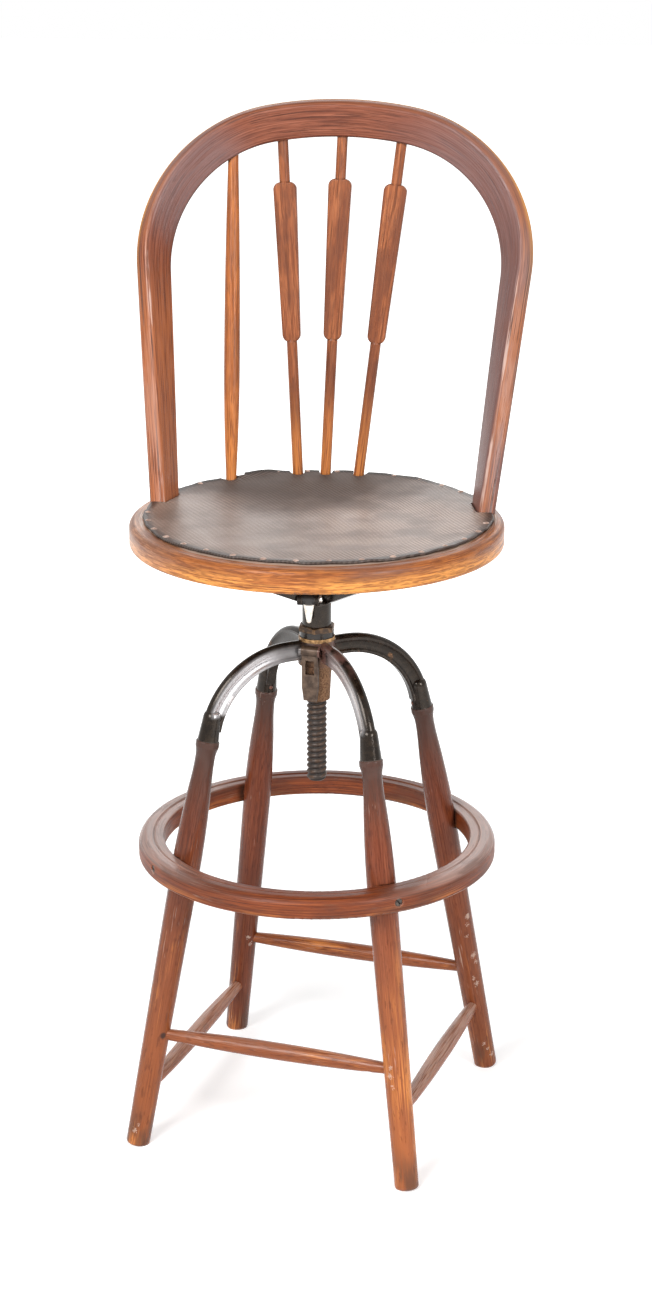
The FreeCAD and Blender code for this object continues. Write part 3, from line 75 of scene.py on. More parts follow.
class Nodes:
    """Node tree of a material or the world: adds nodes and hands their output sockets on."""

    def __init__(self, owner, surface):
        owner.use_nodes = True
        self.tree = owner.node_tree
        self.surface = self.tree.nodes[surface]

    def feed(self, socket, item):
        if isinstance(item, bpy.types.NodeSocket):
            self.tree.links.new(item, socket)
        else:
            socket.default_value = item

    def add(self, kind, inputs, output=0, **settings):
        node = self.tree.nodes.new(kind)
        for key, item in settings.items():
            setattr(node, key, item)
        for key, item in inputs.items():
            self.feed(node.inputs[key], item)
        return node.outputs[output]

    def set(self, **inputs):
        """Feed the inputs of the surface."""
        for key, item in inputs.items():
            self.feed(self.surface.inputs[key.replace("_", " ")], item)

    def position(self):
        return self.add("ShaderNodeTexCoord", {}, "Object")

    def attribute(self, name, output="Vector"):
        return self.add("ShaderNodeAttribute", {}, output, attribute_name=name)

    def part_of(self, vector, axis):
        return self.add("ShaderNodeSeparateXYZ", {0: vector}, axis)

    def joined(self, x, y, z):
        return self.add("ShaderNodeCombineXYZ", {0: x, 1: y, 2: z})

    def math(self, operation, first, second=0.0):
        return self.add("ShaderNodeMath", {0: first, 1: second}, operation=operation, use_clamp=False)

    def times(self, first, second):
        return self.math("MULTIPLY", first, second)

    def plus(self, first, second):
        return self.math("ADD", first, second)

    def minus(self, first, second):
        return self.math("SUBTRACT", first, second)

    def largest(self, first, second):
        return self.math("MAXIMUM", first, second)

    def dot(self, vector, direction):
        return self.add("ShaderNodeVectorMath", {0: vector, 1: direction}, "Value",
                        operation="DOT_PRODUCT")

    def distance(self, place, centre):
        return self.add("ShaderNodeVectorMath", {0: place, 1: centre}, "Value", operation="DISTANCE")

    def normal(self):
        return self.add("ShaderNodeNewGeometry", {}, "Normal")

    def stretch(self, vector, scale):
        return self.add("ShaderNodeVectorMath", {0: vector, 1: scale}, operation="MULTIPLY")

    def noise(self, vector, scale, detail=3.0, distortion=0.0):
        return self.add("ShaderNodeTexNoise", {"Vector": vector, "Scale": scale, "Detail": detail,
                                               "Distortion": distortion})

    def spread(self, value, low, high):
        """0 below low, 1 above high, smooth between them."""
        return self.add("ShaderNodeMapRange", {0: value, 1: low, 2: high},
                        interpolation_type="SMOOTHSTEP")

    def mix(self, factor, first, second, blend="MIX"):
        first = first if isinstance(first, bpy.types.NodeSocket) else (*first, 1.0)
        second = second if isinstance(second, bpy.types.NodeSocket) else (*second, 1.0)
        return self.add("ShaderNodeMix", {0: factor, 6: first, 7: second}, 2,
                        data_type="RGBA", blend_type=blend)

    def between(self, factor, low, high):
        """Value that goes from low to high as the factor goes from 0 to 1."""
        return self.add("ShaderNodeMapRange", {0: factor, 3: low, 4: high})

    def bump(self, height, strength, distance):
        return self.add("ShaderNodeBump", {"Strength": strength, "Distance": distance, "Height": height})

    def edge(self, radius):
        """Share of 1 on outer edges, from how far a rounded normal leaves the flat one."""
        rounded = self.add("ShaderNodeBevel", {"Radius": radius}, samples=4)
        return self.spread(self.dot(rounded, self.normal()), 0.985, 0.86)

    def near(self, place, centre, radius):
        """Share of 1 close to a point, 0 beyond the radius."""
        return self.spread(self.distance(place, centre), radius, radius * 0.45)

    def ragged(self, place, scale, amount):
        """Position shifted a little by noise, so that borders drawn with it are uneven."""
        shift = self.add("ShaderNodeTexNoise", {"Vector": place, "Scale": scale, "Detail": 3.0}, "Color")
        shift = self.add("ShaderNodeVectorMath", {0: shift, 1: (0.5, 0.5, 0.5)}, operation="SUBTRACT")
        return self.add("ShaderNodeVectorMath", {0: place, 1: self.stretch(shift, (amount,) * 3)},
                        operation="ADD")

    def crevice(self, distance):
        """Share of 1 where other surfaces come close."""
        free = self.add("ShaderNodeAmbientOcclusion", {"Distance": distance}, "AO", samples=8)
        return self.spread(free, 0.80, 0.30)

    def reach(self, place):
        """Distance from the swivel axis."""
        flat = self.stretch(place, (1.0, 1.0, 0.0))
        return self.add("ShaderNodeVectorMath", {0: flat}, "Value", operation="LENGTH")

    def straight_grain(self, axis):
        """Position with its third coordinate along a straight piece."""
        axis = axis.normalized()
        side = axis.orthogonal().normalized()
        other = axis.cross(side)
        place = self.position()
        return self.joined(*(self.dot(place, direction) for direction in (side, other, axis)))

    def round_grain(self, radius):
        """Position with its third coordinate along a ring that starts and ends at the back left leg."""
        place = self.position()
        start = polar(1.0, LEG_ANGLES["front_right"])
        turn = self.math("ARCTAN2", self.dot(place, Z_AXIS.cross(start)), self.dot(place, start))
        along = self.times(turn, radius)
        return self.joined(self.reach(place), self.part_of(place, "Z"), along)


class Shader(Nodes):
    """One material, its colour laid tone over tone."""

    def __init__(self, name):
        self.material = bpy.data.materials.new(name)
        super().__init__(self.material, "Principled BSDF")
        self.colour = (1.0, 1.0, 1.0, 1.0)

    def lay(self, tone, share, strength=1.0):
        """Lay a tone over the colour where the share is high."""
        self.colour = self.mix(self.times(share, strength), self.colour, tone)

    def finish(self, **inputs):
        """Material with the colour laid so far and these inputs of the surface."""
        self.set(Base_Color=self.colour, **inputs)
        return self.material


def shade(colour, share):
    """Darker tone of a colour."""
    return tuple(share * part for part in colour)


class Oak(Shader):
    """Stained oak whose grain runs along the third coordinate of its grain socket."""

    def stain(self, grain, dark, tone, light, lined=0.5):
        """Set the colour, with painted shade where other surfaces come close, the height of the surface and
        the streaks.
        """
        self.grain = grain
        figure = self.fibres(48.0, 1.8, 2.0, 0.5)
        rings = self.math("SINE", self.times(figure, 40.0))
        self.streak = self.fibres(850.0, 17.0, 4.0)
        share = self.plus(self.streak, self.times(rings, 0.04))
        self.colour = self.mix(self.spread(share, 0.30, 0.58), dark, tone)
        self.lay(light, self.spread(share, 0.52, 0.76))
        pore = self.spread(self.fibres(1300.0, 55.0, 2.0), 0.56, 0.70)
        self.lay(shade(dark, 0.35), pore, 0.6)
        lines = self.fibres(430.0, 15.0, 3.0)
        self.lay(shade(dark, 0.55), self.spread(lines, 0.53, 0.66), lined)
        # Painted shade: the wood is darkened where other surfaces come close.
        self.lay(CREVICE_SHADE, self.crevice(0.009), 0.8)
        self.height = self.minus(self.times(self.streak, 0.5), pore)

    def fibres(self, across, along, detail, distortion=0.0):
        """Noise drawn out along the grain."""
        return self.noise(self.stretch(self.grain, (across, across, along)), 1.0, detail, distortion)

    def worn(self, scale, low, high):
        """Patches drawn out along the grain, their borders broken by the streaks."""
        patch = self.fibres(scale, scale * 0.3, 3.0)
        fringe = self.times(self.minus(self.streak, 0.5), 0.6)
        return self.spread(self.plus(patch, fringe), low, high)

    def scuffs(self, place, amount):
        """Thin pale scratches in patches, along the grain."""
        lines = self.spread(self.fibres(650.0, 30.0, 2.0), 0.60, 0.70)
        patches = self.noise(place, 22.0, 2.0)
        return self.times(lines, self.spread(patches, 0.62 - amount, 0.78 - amount))

    def varnish(self, bare, low, high, shine):
        """Old varnish: glossier where it is whole, dull where it is worn."""
        return self.finish(Roughness=self.between(bare, low, high), Specular_IOR_Level=shine,
                           Normal=self.bump(self.height, 0.35, 0.0005))


# Stains and wear of the woods, and the painted shade, light, sheen and highlights laid on them; three tones
# in a row are the dark, middle and light parts of a grain
STAIN = (0.118, 0.027, 0.011)
RED_BROWN = (0.172, 0.041, 0.016)
CHESTNUT = (0.225, 0.058, 0.022)
ORANGE = (0.36, 0.106, 0.033)
AMBER = (0.66, 0.235, 0.056)
PALE = (0.68, 0.52, 0.42)
SOOT = (0.055, 0.028, 0.021)
BLACK_BROWN = (0.020, 0.012, 0.010)
CREVICE_SHADE = (0.030, 0.014, 0.009)
MUD = (0.085, 0.040, 0.024)
LIP_HIGHLIGHT = (0.34, 0.26, 0.23)
RING_OAK = (0.095, 0.020, 0.006), (0.195, 0.042, 0.011), (0.32, 0.085, 0.022)
RING_EDGE = (0.50, 0.25, 0.15)
RING_SHEEN = (0.56, 0.43, 0.38)
SEAT_OAK = (0.24, 0.070, 0.019), (0.42, 0.135, 0.035), (0.60, 0.225, 0.060)
GOLDEN = (0.84, 0.36, 0.085)
SEAT_LEFT_SHEEN = (0.70, 0.37, 0.21)
SEAT_FLECK = (0.15, 0.045, 0.016)
SEAT_STAIN = (0.16, 0.066, 0.042)
SEAT_EDGE = (0.62, 0.36, 0.20)
TURNED_OAK = (0.29, 0.082, 0.024), (0.47, 0.150, 0.042), (0.64, 0.240, 0.072)
ARROW_OAK = (0.19, 0.054, 0.022), (0.32, 0.102, 0.040), (0.47, 0.170, 0.068)
SPINDLE_STAIN = (0.125, 0.040, 0.022)
SPINDLE_EDGE_SHADE = (0.085, 0.026, 0.013)
BOW_OAK = (0.135, 0.036, 0.018), (0.230, 0.070, 0.037), (0.33, 0.112, 0.060)
BOW_STAIN = (0.15, 0.048, 0.034)
BOW_CLOUD_SHEEN = (0.185, 0.122, 0.120)
BOW_LEFT_LEG_LIGHT = (0.46, 0.150, 0.056)
BOW_REAR_SHADE = (0.085, 0.028, 0.016)
BOW_AMBER = (0.37, 0.125, 0.046)
BOW_GOLD_HIGHLIGHT = (0.74, 0.35, 0.10)
BOW_CRACK = (0.070, 0.028, 0.020)
BOW_WHITE = (0.60, 0.43, 0.37)

# Heights or distances aside between which a finish, painted light and painted shade come in: none at the
# first, full at the second
LEG_FADED = (0.38, 0.05)
LEG_SOOTY = (0.36, 0.465)
LEG_COLLAR = (0.44, 0.455)
LEG_MUDDY = (0.06, 0.01)
LEG_FOOT_RIM = (0.02, 0.004)
RING_LOWER = (0.327, 0.316)
RING_SHEEN_SIDES = (0.08, 0.17)
SEAT_LOWER = (0.696, 0.682)
SEAT_UPPER = (0.684, 0.693)
SEAT_SHEEN_SIDE = (-0.10, -0.19)
SPINDLE_LOWER = (0.82, 0.71)
BOW_LEFT_LEG = (-0.14, -0.17)
BOW_LIT_HEIGHTS = (0.98, 0.86)
BOW_BELOW_CROWN = (1.09, 1.0)
BOW_HIGHLIGHT_HEIGHTS = (0.90, 1.04)
BOW_LEGS = (1.04, 0.92)


def leg_wood(name, axis, wear, tone, dust=0.0, pale_spots=(), dark_spots=()):
    """Leg: sooty under the socket with a painted highlight on the collar lip, worn to orange and amber
    towards the foot.
    """
    shader = Oak(name)
    place = shader.position()
    stains = [shade(colour, tone) for colour in (STAIN, RED_BROWN, CHESTNUT)]
    shader.stain(shader.straight_grain(axis), *stains, 0.35)
    z = shader.part_of(place, "Z")
    lower = shader.spread(z, *LEG_FADED)
    faded = shader.times(lower, shader.between(shader.spread(shader.streak, 0.26, 0.54), 0.55, 1.0))
    shader.lay(ORANGE, faded, wear)
    patches = shader.worn(26.0, 0.66 - 0.2 * wear, 0.84 - 0.2 * wear)
    shader.lay(AMBER, shader.times(lower, patches), 0.85)
    shader.lay(STAIN, shader.worn(34.0, 0.60, 0.78), 0.35)
    specks = shader.fibres(330.0, 75.0, 4.0)
    shader.lay(shade(STAIN, 0.6), shader.spread(specks, 0.56, 0.68), 0.45)
    level = shader.part_of(shader.normal(), "Z")
    dusty = shader.times(shader.spread(level, 0.1, 0.8), shader.spread(shader.streak, 0.3, 0.6))
    shader.lay(PALE, dusty, dust)
    fringe = shader.times(shader.minus(shader.streak, 0.5), 0.08)
    top = shader.spread(shader.plus(z, fringe), *LEG_SOOTY)
    shader.lay(SOOT, top, 0.9)
    # Painted highlight on the rim of the collar.
    lip = shader.times(shader.edge(0.002), shader.spread(z, *LEG_COLLAR))
    shader.lay(LIP_HIGHLIGHT, lip, 0.6)
    mud = shader.worn(60.0, 0.47, 0.62)
    dirt = shader.times(shader.spread(z, *LEG_MUDDY), mud)
    shader.lay(MUD, dirt, 0.75)
    scratched = shader.scuffs(place, 0.04)
    rim = shader.times(shader.edge(0.004), shader.spread(z, *LEG_FOOT_RIM))
    bare = shader.largest(scratched, rim)
    torn = shader.ragged(place, 520.0, 0.011)
    for spot, radius in pale_spots:
        bare = shader.largest(bare, shader.near(torn, spot, radius))
    shader.lay(PALE, bare, 0.5)
    for spot, radius in dark_spots:
        peg = shader.near(place, spot, radius)
        shader.lay(BLACK_BROWN, peg, 0.85)
    return shader.varnish(bare, 0.24, 0.5, 0.24)


def ring_wood():
    """Foot ring: grain round the swivel axis, rubbed along its edges, with a painted sheen on the upper
    faces of both sides.
    """
    shader = Oak("foot_ring_oak")
    place = shader.position()
    shader.stain(shader.round_grain(RING_RADIUS), *RING_OAK)
    low = shader.spread(shader.part_of(place, "Z"), *RING_LOWER)
    golden = shader.times(low, shader.worn(30.0, 0.50, 0.72))
    shader.lay(AMBER, golden, 0.5)
    shader.lay(RING_OAK[0], shader.worn(18.0, 0.56, 0.78), 0.5)
    edge = shader.times(shader.edge(0.003), shader.worn(24.0, 0.42, 0.64))
    shader.lay(RING_EDGE, edge, 0.5)
    shader.lay(PALE, shader.scuffs(place, 0.06), 0.2)
    # Painted sheen on the upper faces of both sides of the ring; the varnish is glossier there too.
    level = shader.part_of(shader.normal(), "Z")
    aside = shader.math("ABSOLUTE", shader.part_of(place, "X"))
    sheen_area = shader.times(shader.spread(aside, *RING_SHEEN_SIDES), shader.spread(level, 0.2, 0.8))
    shader.lay(RING_SHEEN, sheen_area, 0.42)
    shader.lay(SOOT, shader.worn(40.0, 0.50, 0.62), 0.45)
    dull = shader.minus(1.0, sheen_area)
    return shader.varnish(dull, 0.20, 0.42, 0.25)


def from_leather_middle(shader, place):
    """Distance from the middle of the leather panel, seen from above."""
    return shader.distance(shader.stretch(place, (1.0, 1.0, 0.0)), (0.0, LEATHER_BACK, 0.0))


# Place on the front of the seat frame laid in a golden tone, partly the wood's own wear and partly painted
# light: centre, radius
SEAT_GOLDEN_LIT_PLACE = (0.075, -0.19, 0.684), 0.075


def seat_wood():
    """Seat frame: flecked golden brown, dark stained along the top edge, with a golden patch at the front
    that is partly painted light and a painted sheen on the left side.
    """
    shader = Oak("seat_frame_oak")
    place = shader.position()
    shader.stain(shader.round_grain(SEAT_RADIUS), *SEAT_OAK)
    z = shader.part_of(place, "Z")
    # The golden patch at the front is partly the wood's wear and partly painted light.
    patch = shader.largest(shader.worn(26.0, 0.44, 0.60),
                           shader.near(shader.ragged(place, 40.0, 0.05), *SEAT_GOLDEN_LIT_PLACE))
    golden = shader.times(patch, shader.spread(z, *SEAT_LOWER))
    shader.lay(GOLDEN, golden, 0.7)
    # Painted sheen on the left side of the frame.
    left = shader.spread(shader.part_of(place, "X"), *SEAT_SHEEN_SIDE)
    shader.lay(SEAT_LEFT_SHEEN, left, 0.55)
    for fine, share in ((780.0, 0.60), (260.0, 0.50)):
        fleck = shader.fibres(fine, fine * 0.11, 5.0)
        shader.lay(SEAT_FLECK, shader.spread(fleck, 0.48, 0.64), share)
    stain = shader.times(shader.worn(34.0, 0.42, 0.64), shader.spread(z, *SEAT_UPPER))
    shader.lay(SEAT_STAIN, stain, 0.7)
    aside = from_leather_middle(shader, place)
    beside = shader.spread(aside, LEATHER_RADIUS + 0.0030, LEATHER_RADIUS + 0.0012)
    line = shader.times(beside, shader.worn(16.0, 0.40, 0.56))
    shader.lay(PALE, line, 0.7)
    edge = shader.times(shader.edge(0.004), shader.worn(24.0, 0.40, 0.62))
    shader.lay(SEAT_EDGE, edge, 0.45)
    return shader.varnish(edge, 0.30, 0.48, 0.2)


def spindle_wood(name, axis, tones, stained):
    """Spindle: fine brown grain, darker patches on the paddles, painted shade along the edges, amber
    towards the seat.
    """
    shader = Oak(name)
    place = shader.position()
    shader.stain(shader.straight_grain(axis), *tones, 0.7)
    shader.lay(SPINDLE_STAIN, shader.worn(62.0, 0.50, 0.60), stained)
    # Painted shade along the edges of the spindle.
    edge = shader.edge(0.004)
    shader.lay(SPINDLE_EDGE_SHADE, edge, 0.7)
    low = shader.times(shader.spread(shader.part_of(place, "Z"), *SPINDLE_LOWER),
                       shader.spread(shader.streak, 0.3, 0.6))
    shader.lay(AMBER, low, 0.7)
    return shader.varnish(edge, 0.34, 0.45, 0.2)


# Places on the band where the varnish has gone hazy, laid with a painted sheen as well: centre, radius
BOW_BLOOM_AND_SHEEN = [((0.19, 0.20, 0.98), 0.20), ((0.19, 0.10, 0.80), 0.14), ((-0.16, 0.19, 1.03), 0.09)]


def bow_wood(half_width, half_thickness):
    """Band: brown broad faces, amber narrow edge, the inner front corners of the legs rubbed white; hazy
    varnish with a painted sheen in patches, painted light on the left leg, painted shade on the rear edge
    and over the amber on the crown, and a painted golden highlight along the outer top edge.
    """
    shader = Oak("bow_oak")
    grain = shader.attribute("grain")
    place = shader.position()
    shader.stain(grain, *BOW_OAK, 0.85)
    across = shader.part_of(grain, "X")
    inward = shader.times(shader.part_of(grain, "Y"), -1.0)
    z = shader.part_of(place, "Z")
    shader.lay(BOW_STAIN, shader.worn(16.0, 0.54, 0.76), 0.5)
    # Hazy varnish in patches, laid with a painted sheen.
    sheen_area = 0.0
    for centre, radius in BOW_BLOOM_AND_SHEEN:
        sheen_area = shader.largest(sheen_area, shader.near(place, centre, radius))
    bloom_and_sheen = shader.times(sheen_area, shader.between(shader.spread(shader.streak, 0.25, 0.65), 0.5, 1.0))
    shader.lay(BOW_CLOUD_SHEEN, bloom_and_sheen, 0.7)
    # Painted light on the left leg of the band.
    left = shader.spread(shader.part_of(place, "X"), *BOW_LEFT_LEG)
    painted_light = shader.times(left, shader.spread(z, *BOW_LIT_HEIGHTS))
    painted_light = shader.times(painted_light, shader.spread(shader.streak, 0.30, 0.56))
    shader.lay(BOW_LEFT_LEG_LIGHT, painted_light, 0.75)
    # Painted shade on the rear edge of the band.
    rear = shader.spread(across, 0.003 - half_width, 0.0008 - half_width)
    shader.lay(BOW_REAR_SHADE, rear, 0.6)
    front = shader.spread(across, half_width - 0.0035, half_width - 0.0012)
    amber = shader.times(front, shader.worn(20.0, 0.34, 0.60))
    # The amber is held back on the crown: painted shade where more light falls from above.
    amber = shader.times(amber, shader.between(shader.spread(z, *BOW_BELOW_CROWN), 0.4, 1.0))
    shader.lay(BOW_AMBER, amber, 0.8)
    # Painted golden highlight along the outer top edge.
    outer = shader.times(shader.spread(shader.part_of(grain, "Y"), 0.0, 0.006),
                         shader.spread(across, half_width - 0.010, half_width - 0.005))
    outer = shader.times(outer, shader.spread(z, *BOW_HIGHLIGHT_HEIGHTS))
    shader.lay(BOW_GOLD_HIGHLIGHT, outer, 0.9)
    leg = shader.spread(z, *BOW_LEGS)
    leg_front = shader.times(front, leg)
    crease = shader.fibres(520.0, 9.0, 3.0)
    crack = shader.times(leg_front, shader.spread(crease, 0.58, 0.64))
    shader.lay(BOW_CRACK, crack, 0.8)
    corner = shader.times(shader.spread(across, half_width - 0.0042, half_width - 0.0024),
                          shader.spread(inward, half_thickness - 0.0042, half_thickness - 0.0024))
    rubbed = shader.times(shader.times(corner, leg), shader.worn(46.0, 0.50, 0.62))
    haze = shader.times(leg_front, shader.worn(28.0, 0.50, 0.68))
    white = shader.largest(rubbed, shader.times(haze, 0.22))
    shader.lay(BOW_WHITE, white, 0.75)
    shader.height = shader.minus(shader.height, shader.times(crack, 2.0))
    # Rougher where the legs are rubbed white and along the painted highlight.
    bare = shader.largest(white, outer)
    return shader.varnish(bare, 0.30, 0.75, 0.22)


# Colours of the metals, and the painted shade of the thread grooves
PAINT_BLACK = (0.006, 0.004, 0.003)
PAINT_BROWN = (0.018, 0.012, 0.008)
PAINT_THIN = (0.15, 0.072, 0.058)
RUST_DARK = (0.095, 0.043, 0.020)
RUST_LIGHT = (0.25, 0.130, 0.065)
IRON_EDGE = (0.26, 0.21, 0.19)
IRON_BRIGHT = (0.62, 0.60, 0.61)
WARM_SHINE = (1.0, 0.88, 0.78, 1.0)
THREAD_DARK = (0.032, 0.021, 0.016)
THREAD_BROWN = (0.066, 0.035, 0.019)
THREAD_GROOVE_SHADE = (0.016, 0.011, 0.009)
NUT_DARK = (0.040, 0.022, 0.012)
NUT_BRASS = (0.15, 0.080, 0.036)
NUT_EDGE = (0.34, 0.20, 0.09)
NUT_GREASE = (0.010, 0.008, 0.007)
NICKEL_LIGHT = (0.90, 0.82, 0.74)
NICKEL_WORN = (0.66, 0.56, 0.47)
LEVER_PAINT = (0.022, 0.017, 0.015)


def painted_iron(name, rust_share, bare_zones=(), red_zones=(), rubbed_sheen_zones=()):
    """Glossy brown-black paint on a casting, rusting in places and rubbed to bright metal in bands laid as
    a painted sheen.
    """
    shader = Shader(name)
    place = shader.position()
    grit = shader.noise(place, 700.0, 3.0)
    lumps = shader.noise(place, 150.0, 3.0)
    patch = shader.noise(place, 55.0, 4.0)
    rust = shader.spread(patch, 0.70 - rust_share, 0.80 - rust_share)
    shader.colour = shader.mix(shader.spread(lumps, 0.35, 0.7), PAINT_BLACK, PAINT_BROWN)
    for centre, radius in red_zones:
        thin = shader.times(shader.near(place, centre, radius), shader.spread(patch, 0.34, 0.52))
        shader.lay(PAINT_THIN, thin, 0.8)
    for centre, radius in bare_zones:
        rust = shader.largest(rust, shader.near(place, centre, radius))
    rust_tone = shader.mix(shader.spread(grit, 0.36, 0.62), RUST_DARK, RUST_LIGHT)
    shader.lay(rust_tone, rust, 0.85)
    edge = shader.times(shader.edge(0.0015), shader.spread(lumps, 0.35, 0.6))
    shader.lay(IRON_EDGE, edge, 0.45)
    metal = shader.times(edge, 0.3)
    facing = shader.normal()
    z = shader.part_of(place, "Z")
    torn = shader.ragged(place, 45.0, 0.03)
    # Band across the arm faces, brightest in the middle, where rubbed metal is laid as a painted sheen.
    section = shader.joined(shader.reach(place), 0.0, z)
    across = shader.distance(section, ARM_BEND_CENTRE)
    upper = shader.spread(across, ARM_BEND_RADIUS + 0.0095, ARM_BEND_RADIUS + 0.002)
    lower = shader.spread(across, ARM_BEND_RADIUS - 0.0105, ARM_BEND_RADIUS - 0.003)
    sheen = shader.times(upper, shader.between(lower, 0.45, 1.0))
    # Rubbed bright metal, placed by the way each face turns so that it lays a painted sheen.
    for centre, radius, side, share in rubbed_sheen_zones:
        flat = shader.spread(shader.dot(facing, side), 0.45, 0.80)
        rubbed = shader.times(shader.near(torn, centre, radius), flat)
        rubbed = shader.times(rubbed, shader.spread(z, SOCKET_TOP, SOCKET_TOP + 0.006))
        rubbed = shader.times(shader.times(rubbed, sheen), share)
        shader.lay(IRON_BRIGHT, rubbed)
        metal = shader.largest(metal, rubbed)
    height = shader.plus(shader.times(grit, 0.3), lumps)
    return shader.finish(Metallic=metal, Roughness=shader.between(rust, 0.20, 0.62), Specular_IOR_Level=0.3,
                         Specular_Tint=WARM_SHINE, Normal=shader.bump(height, 0.11, 0.0010))


def old_metal(name, dark, bright, metallic, low, high, scale):
    """Bare metal with tarnish, grease and rust spots, its edges rubbed bright and lit with a painted
    highlight, and painted shade in crevices.
    """
    shader = Shader(name)
    place = shader.position()
    patch = shader.noise(place, scale, 4.0)
    spots = shader.noise(place, scale * 3.0, 3.0)
    tarnish = shader.spread(patch, 0.32, 0.70)
    shader.colour = shader.mix(tarnish, bright, dark)
    shader.lay(shade(dark, 0.4), shader.spread(spots, 0.58, 0.72), 0.4)
    # Edges rubbed bright, and a painted highlight as well.
    edge = shader.edge(0.0008)
    shader.lay(bright, edge, 0.6)
    # Painted shade in crevices.
    shader.lay(BLACK_BROWN, shader.crevice(0.005), 0.8)
    return shader.finish(Metallic=metallic, Roughness=shader.between(tarnish, low, high),
                         Normal=shader.bump(spots, 0.25, 0.0004))


def screw_metal():
    """Thread: rust brown crests over grooves darkened with painted shade."""
    shader = Shader("screw_iron_threaded")
    place = shader.position()
    crest = shader.attribute("crest", "Fac")
    patch = shader.noise(place, 130.0, 4.0)
    shader.colour = shader.mix(shader.spread(patch, 0.35, 0.68), THREAD_DARK, THREAD_BROWN)
    # Painted shade in the thread grooves.
    shader.lay(THREAD_GROOVE_SHADE, shader.spread(crest, 0.75, 0.15))
    return shader.finish(Metallic=0.3, Roughness=shader.between(crest, 0.6, 0.4),
                         Normal=shader.bump(shader.noise(place, 900.0, 3.0), 0.15, 0.0003))


def nut_metal():
    """Nut: dark brass hexagon over a collar black with grease."""
    shader = Shader("nut_brass_greasy")
    place = shader.position()
    patch = shader.noise(place, 170.0, 4.0)
    shader.colour = shader.mix(shader.spread(patch, 0.40, 0.66), NUT_DARK, NUT_BRASS)
    shader.lay(NUT_EDGE, shader.edge(0.0008), 0.5)
    grease = shader.spread(shader.part_of(place, "Z"), NUT_COLLAR_TOP + 0.001, NUT_COLLAR_TOP - 0.0003)
    shader.lay(NUT_GREASE, grease, 0.93)
    return shader.finish(Metallic=0.35, Roughness=shader.between(grease, 0.5, 0.2),
                         Normal=shader.bump(shader.noise(place, 420.0, 3.0), 0.3, 0.0006))


def lever_metal():
    """Clamp lever: dark painted barrel, worn nickel on the tapered end."""
    shader = Shader("lever_nickel")
    place = shader.position()
    patch = shader.noise(place, 110.0, 4.0)
    shader.colour = shader.mix(shader.spread(patch, 0.42, 0.66), NICKEL_LIGHT, NICKEL_WORN)
    barrel = shader.spread(shader.part_of(place, "Z"), LEVER_SHOULDER, LEVER_SHOULDER + 0.002)
    shader.lay(LEVER_PAINT, barrel)
    return shader.finish(Metallic=shader.between(barrel, 0.8, 0.1),
                         Roughness=shader.between(barrel, 0.26, 0.34),
                         Normal=shader.bump(shader.noise(place, 500.0, 3.0), 0.15, 0.0004))


# Colours of the leather with its painted dark reflection at the back and its painted sheen, and the centre
# and radius of the dark reflection and of the sheen
LEATHER_DARK = (0.085, 0.053, 0.039)
LEATHER_BROWN = (0.165, 0.110, 0.084)
LEATHER_DARK_REFLECTION = (0.048, 0.032, 0.026)
LEATHER_RIB = (0.42, 0.315, 0.26)
LEATHER_RIB_DARK_REFLECTION = (0.15, 0.108, 0.088)
LEATHER_RIB_SHEEN = (0.70, 0.50, 0.40)
LEATHER_RIM = (0.026, 0.018, 0.015)
DARK_REFLECTION_PLACE = (-0.045, 0.175, SEAT_TOP), 0.185
SHEEN_PLACE = (0.11, -0.03, SEAT_TOP), 0.15
RIB_SLANT = math.radians(-33.0)


def leather_material():
    """Dark embossed leather: fine slanting ribs, a painted sheen right of the middle and a painted dark
    reflection at the back, black round the tacked edge.
    """
    shader = Shader("seat_leather_dark")
    place = shader.position()
    across = shader.dot(place, (math.cos(RIB_SLANT), math.sin(RIB_SLANT), 0.0))
    wobble = shader.times(shader.noise(place, 60.0, 2.0), 0.0011)
    ribs = shader.math("SINE", shader.times(shader.plus(across, wobble), 2.0 * math.pi / RIB_PITCH))
    blotch = shader.noise(place, 13.0, 4.0)
    fine = shader.noise(place, 900.0, 3.0)
    shader.colour = shader.mix(shader.spread(blotch, 0.35, 0.66), LEATHER_DARK, LEATHER_BROWN)
    # Painted dark reflection over the back of the panel, on the ribs there as well.
    back = shader.near(shader.ragged(place, 14.0, 0.08), *DARK_REFLECTION_PLACE)
    shader.lay(LEATHER_DARK_REFLECTION, back, 0.8)
    kept = shader.between(shader.spread(shader.noise(place, 24.0, 3.0), 0.36, 0.60), 0.45, 1.0)
    rib_share = shader.times(shader.spread(ribs, -0.2, 0.5), kept)
    rib_tone = shader.mix(back, LEATHER_RIB, LEATHER_RIB_DARK_REFLECTION)
    # Painted sheen right of the middle, laid on the ribs.
    pale = shader.near(shader.ragged(place, 9.0, 0.06), *SHEEN_PLACE)
    rib_tone = shader.mix(shader.times(pale, 0.7), rib_tone, LEATHER_RIB_SHEEN)
    shader.lay(rib_tone, rib_share, 0.85)
    uneven = shader.times(shader.noise(place, 40.0, 3.0), 0.008)
    rim = shader.plus(from_leather_middle(shader, place), uneven)
    edge = shader.spread(rim, LEATHER_RADIUS - 0.010, LEATHER_RADIUS - 0.002)
    shader.lay(LEATHER_RIM, edge, 0.85)
    height = shader.plus(shader.times(rib_share, 0.9), shader.times(fine, 0.4))
    dull = shader.between(back, shader.between(blotch, 0.46, 0.32), 0.72)
    return shader.finish(Roughness=dull, Specular_IOR_Level=0.4, Normal=shader.bump(height, 0.6, 0.0008))


def dress(node, material):
    nodes[node].material_slots[0].material = material


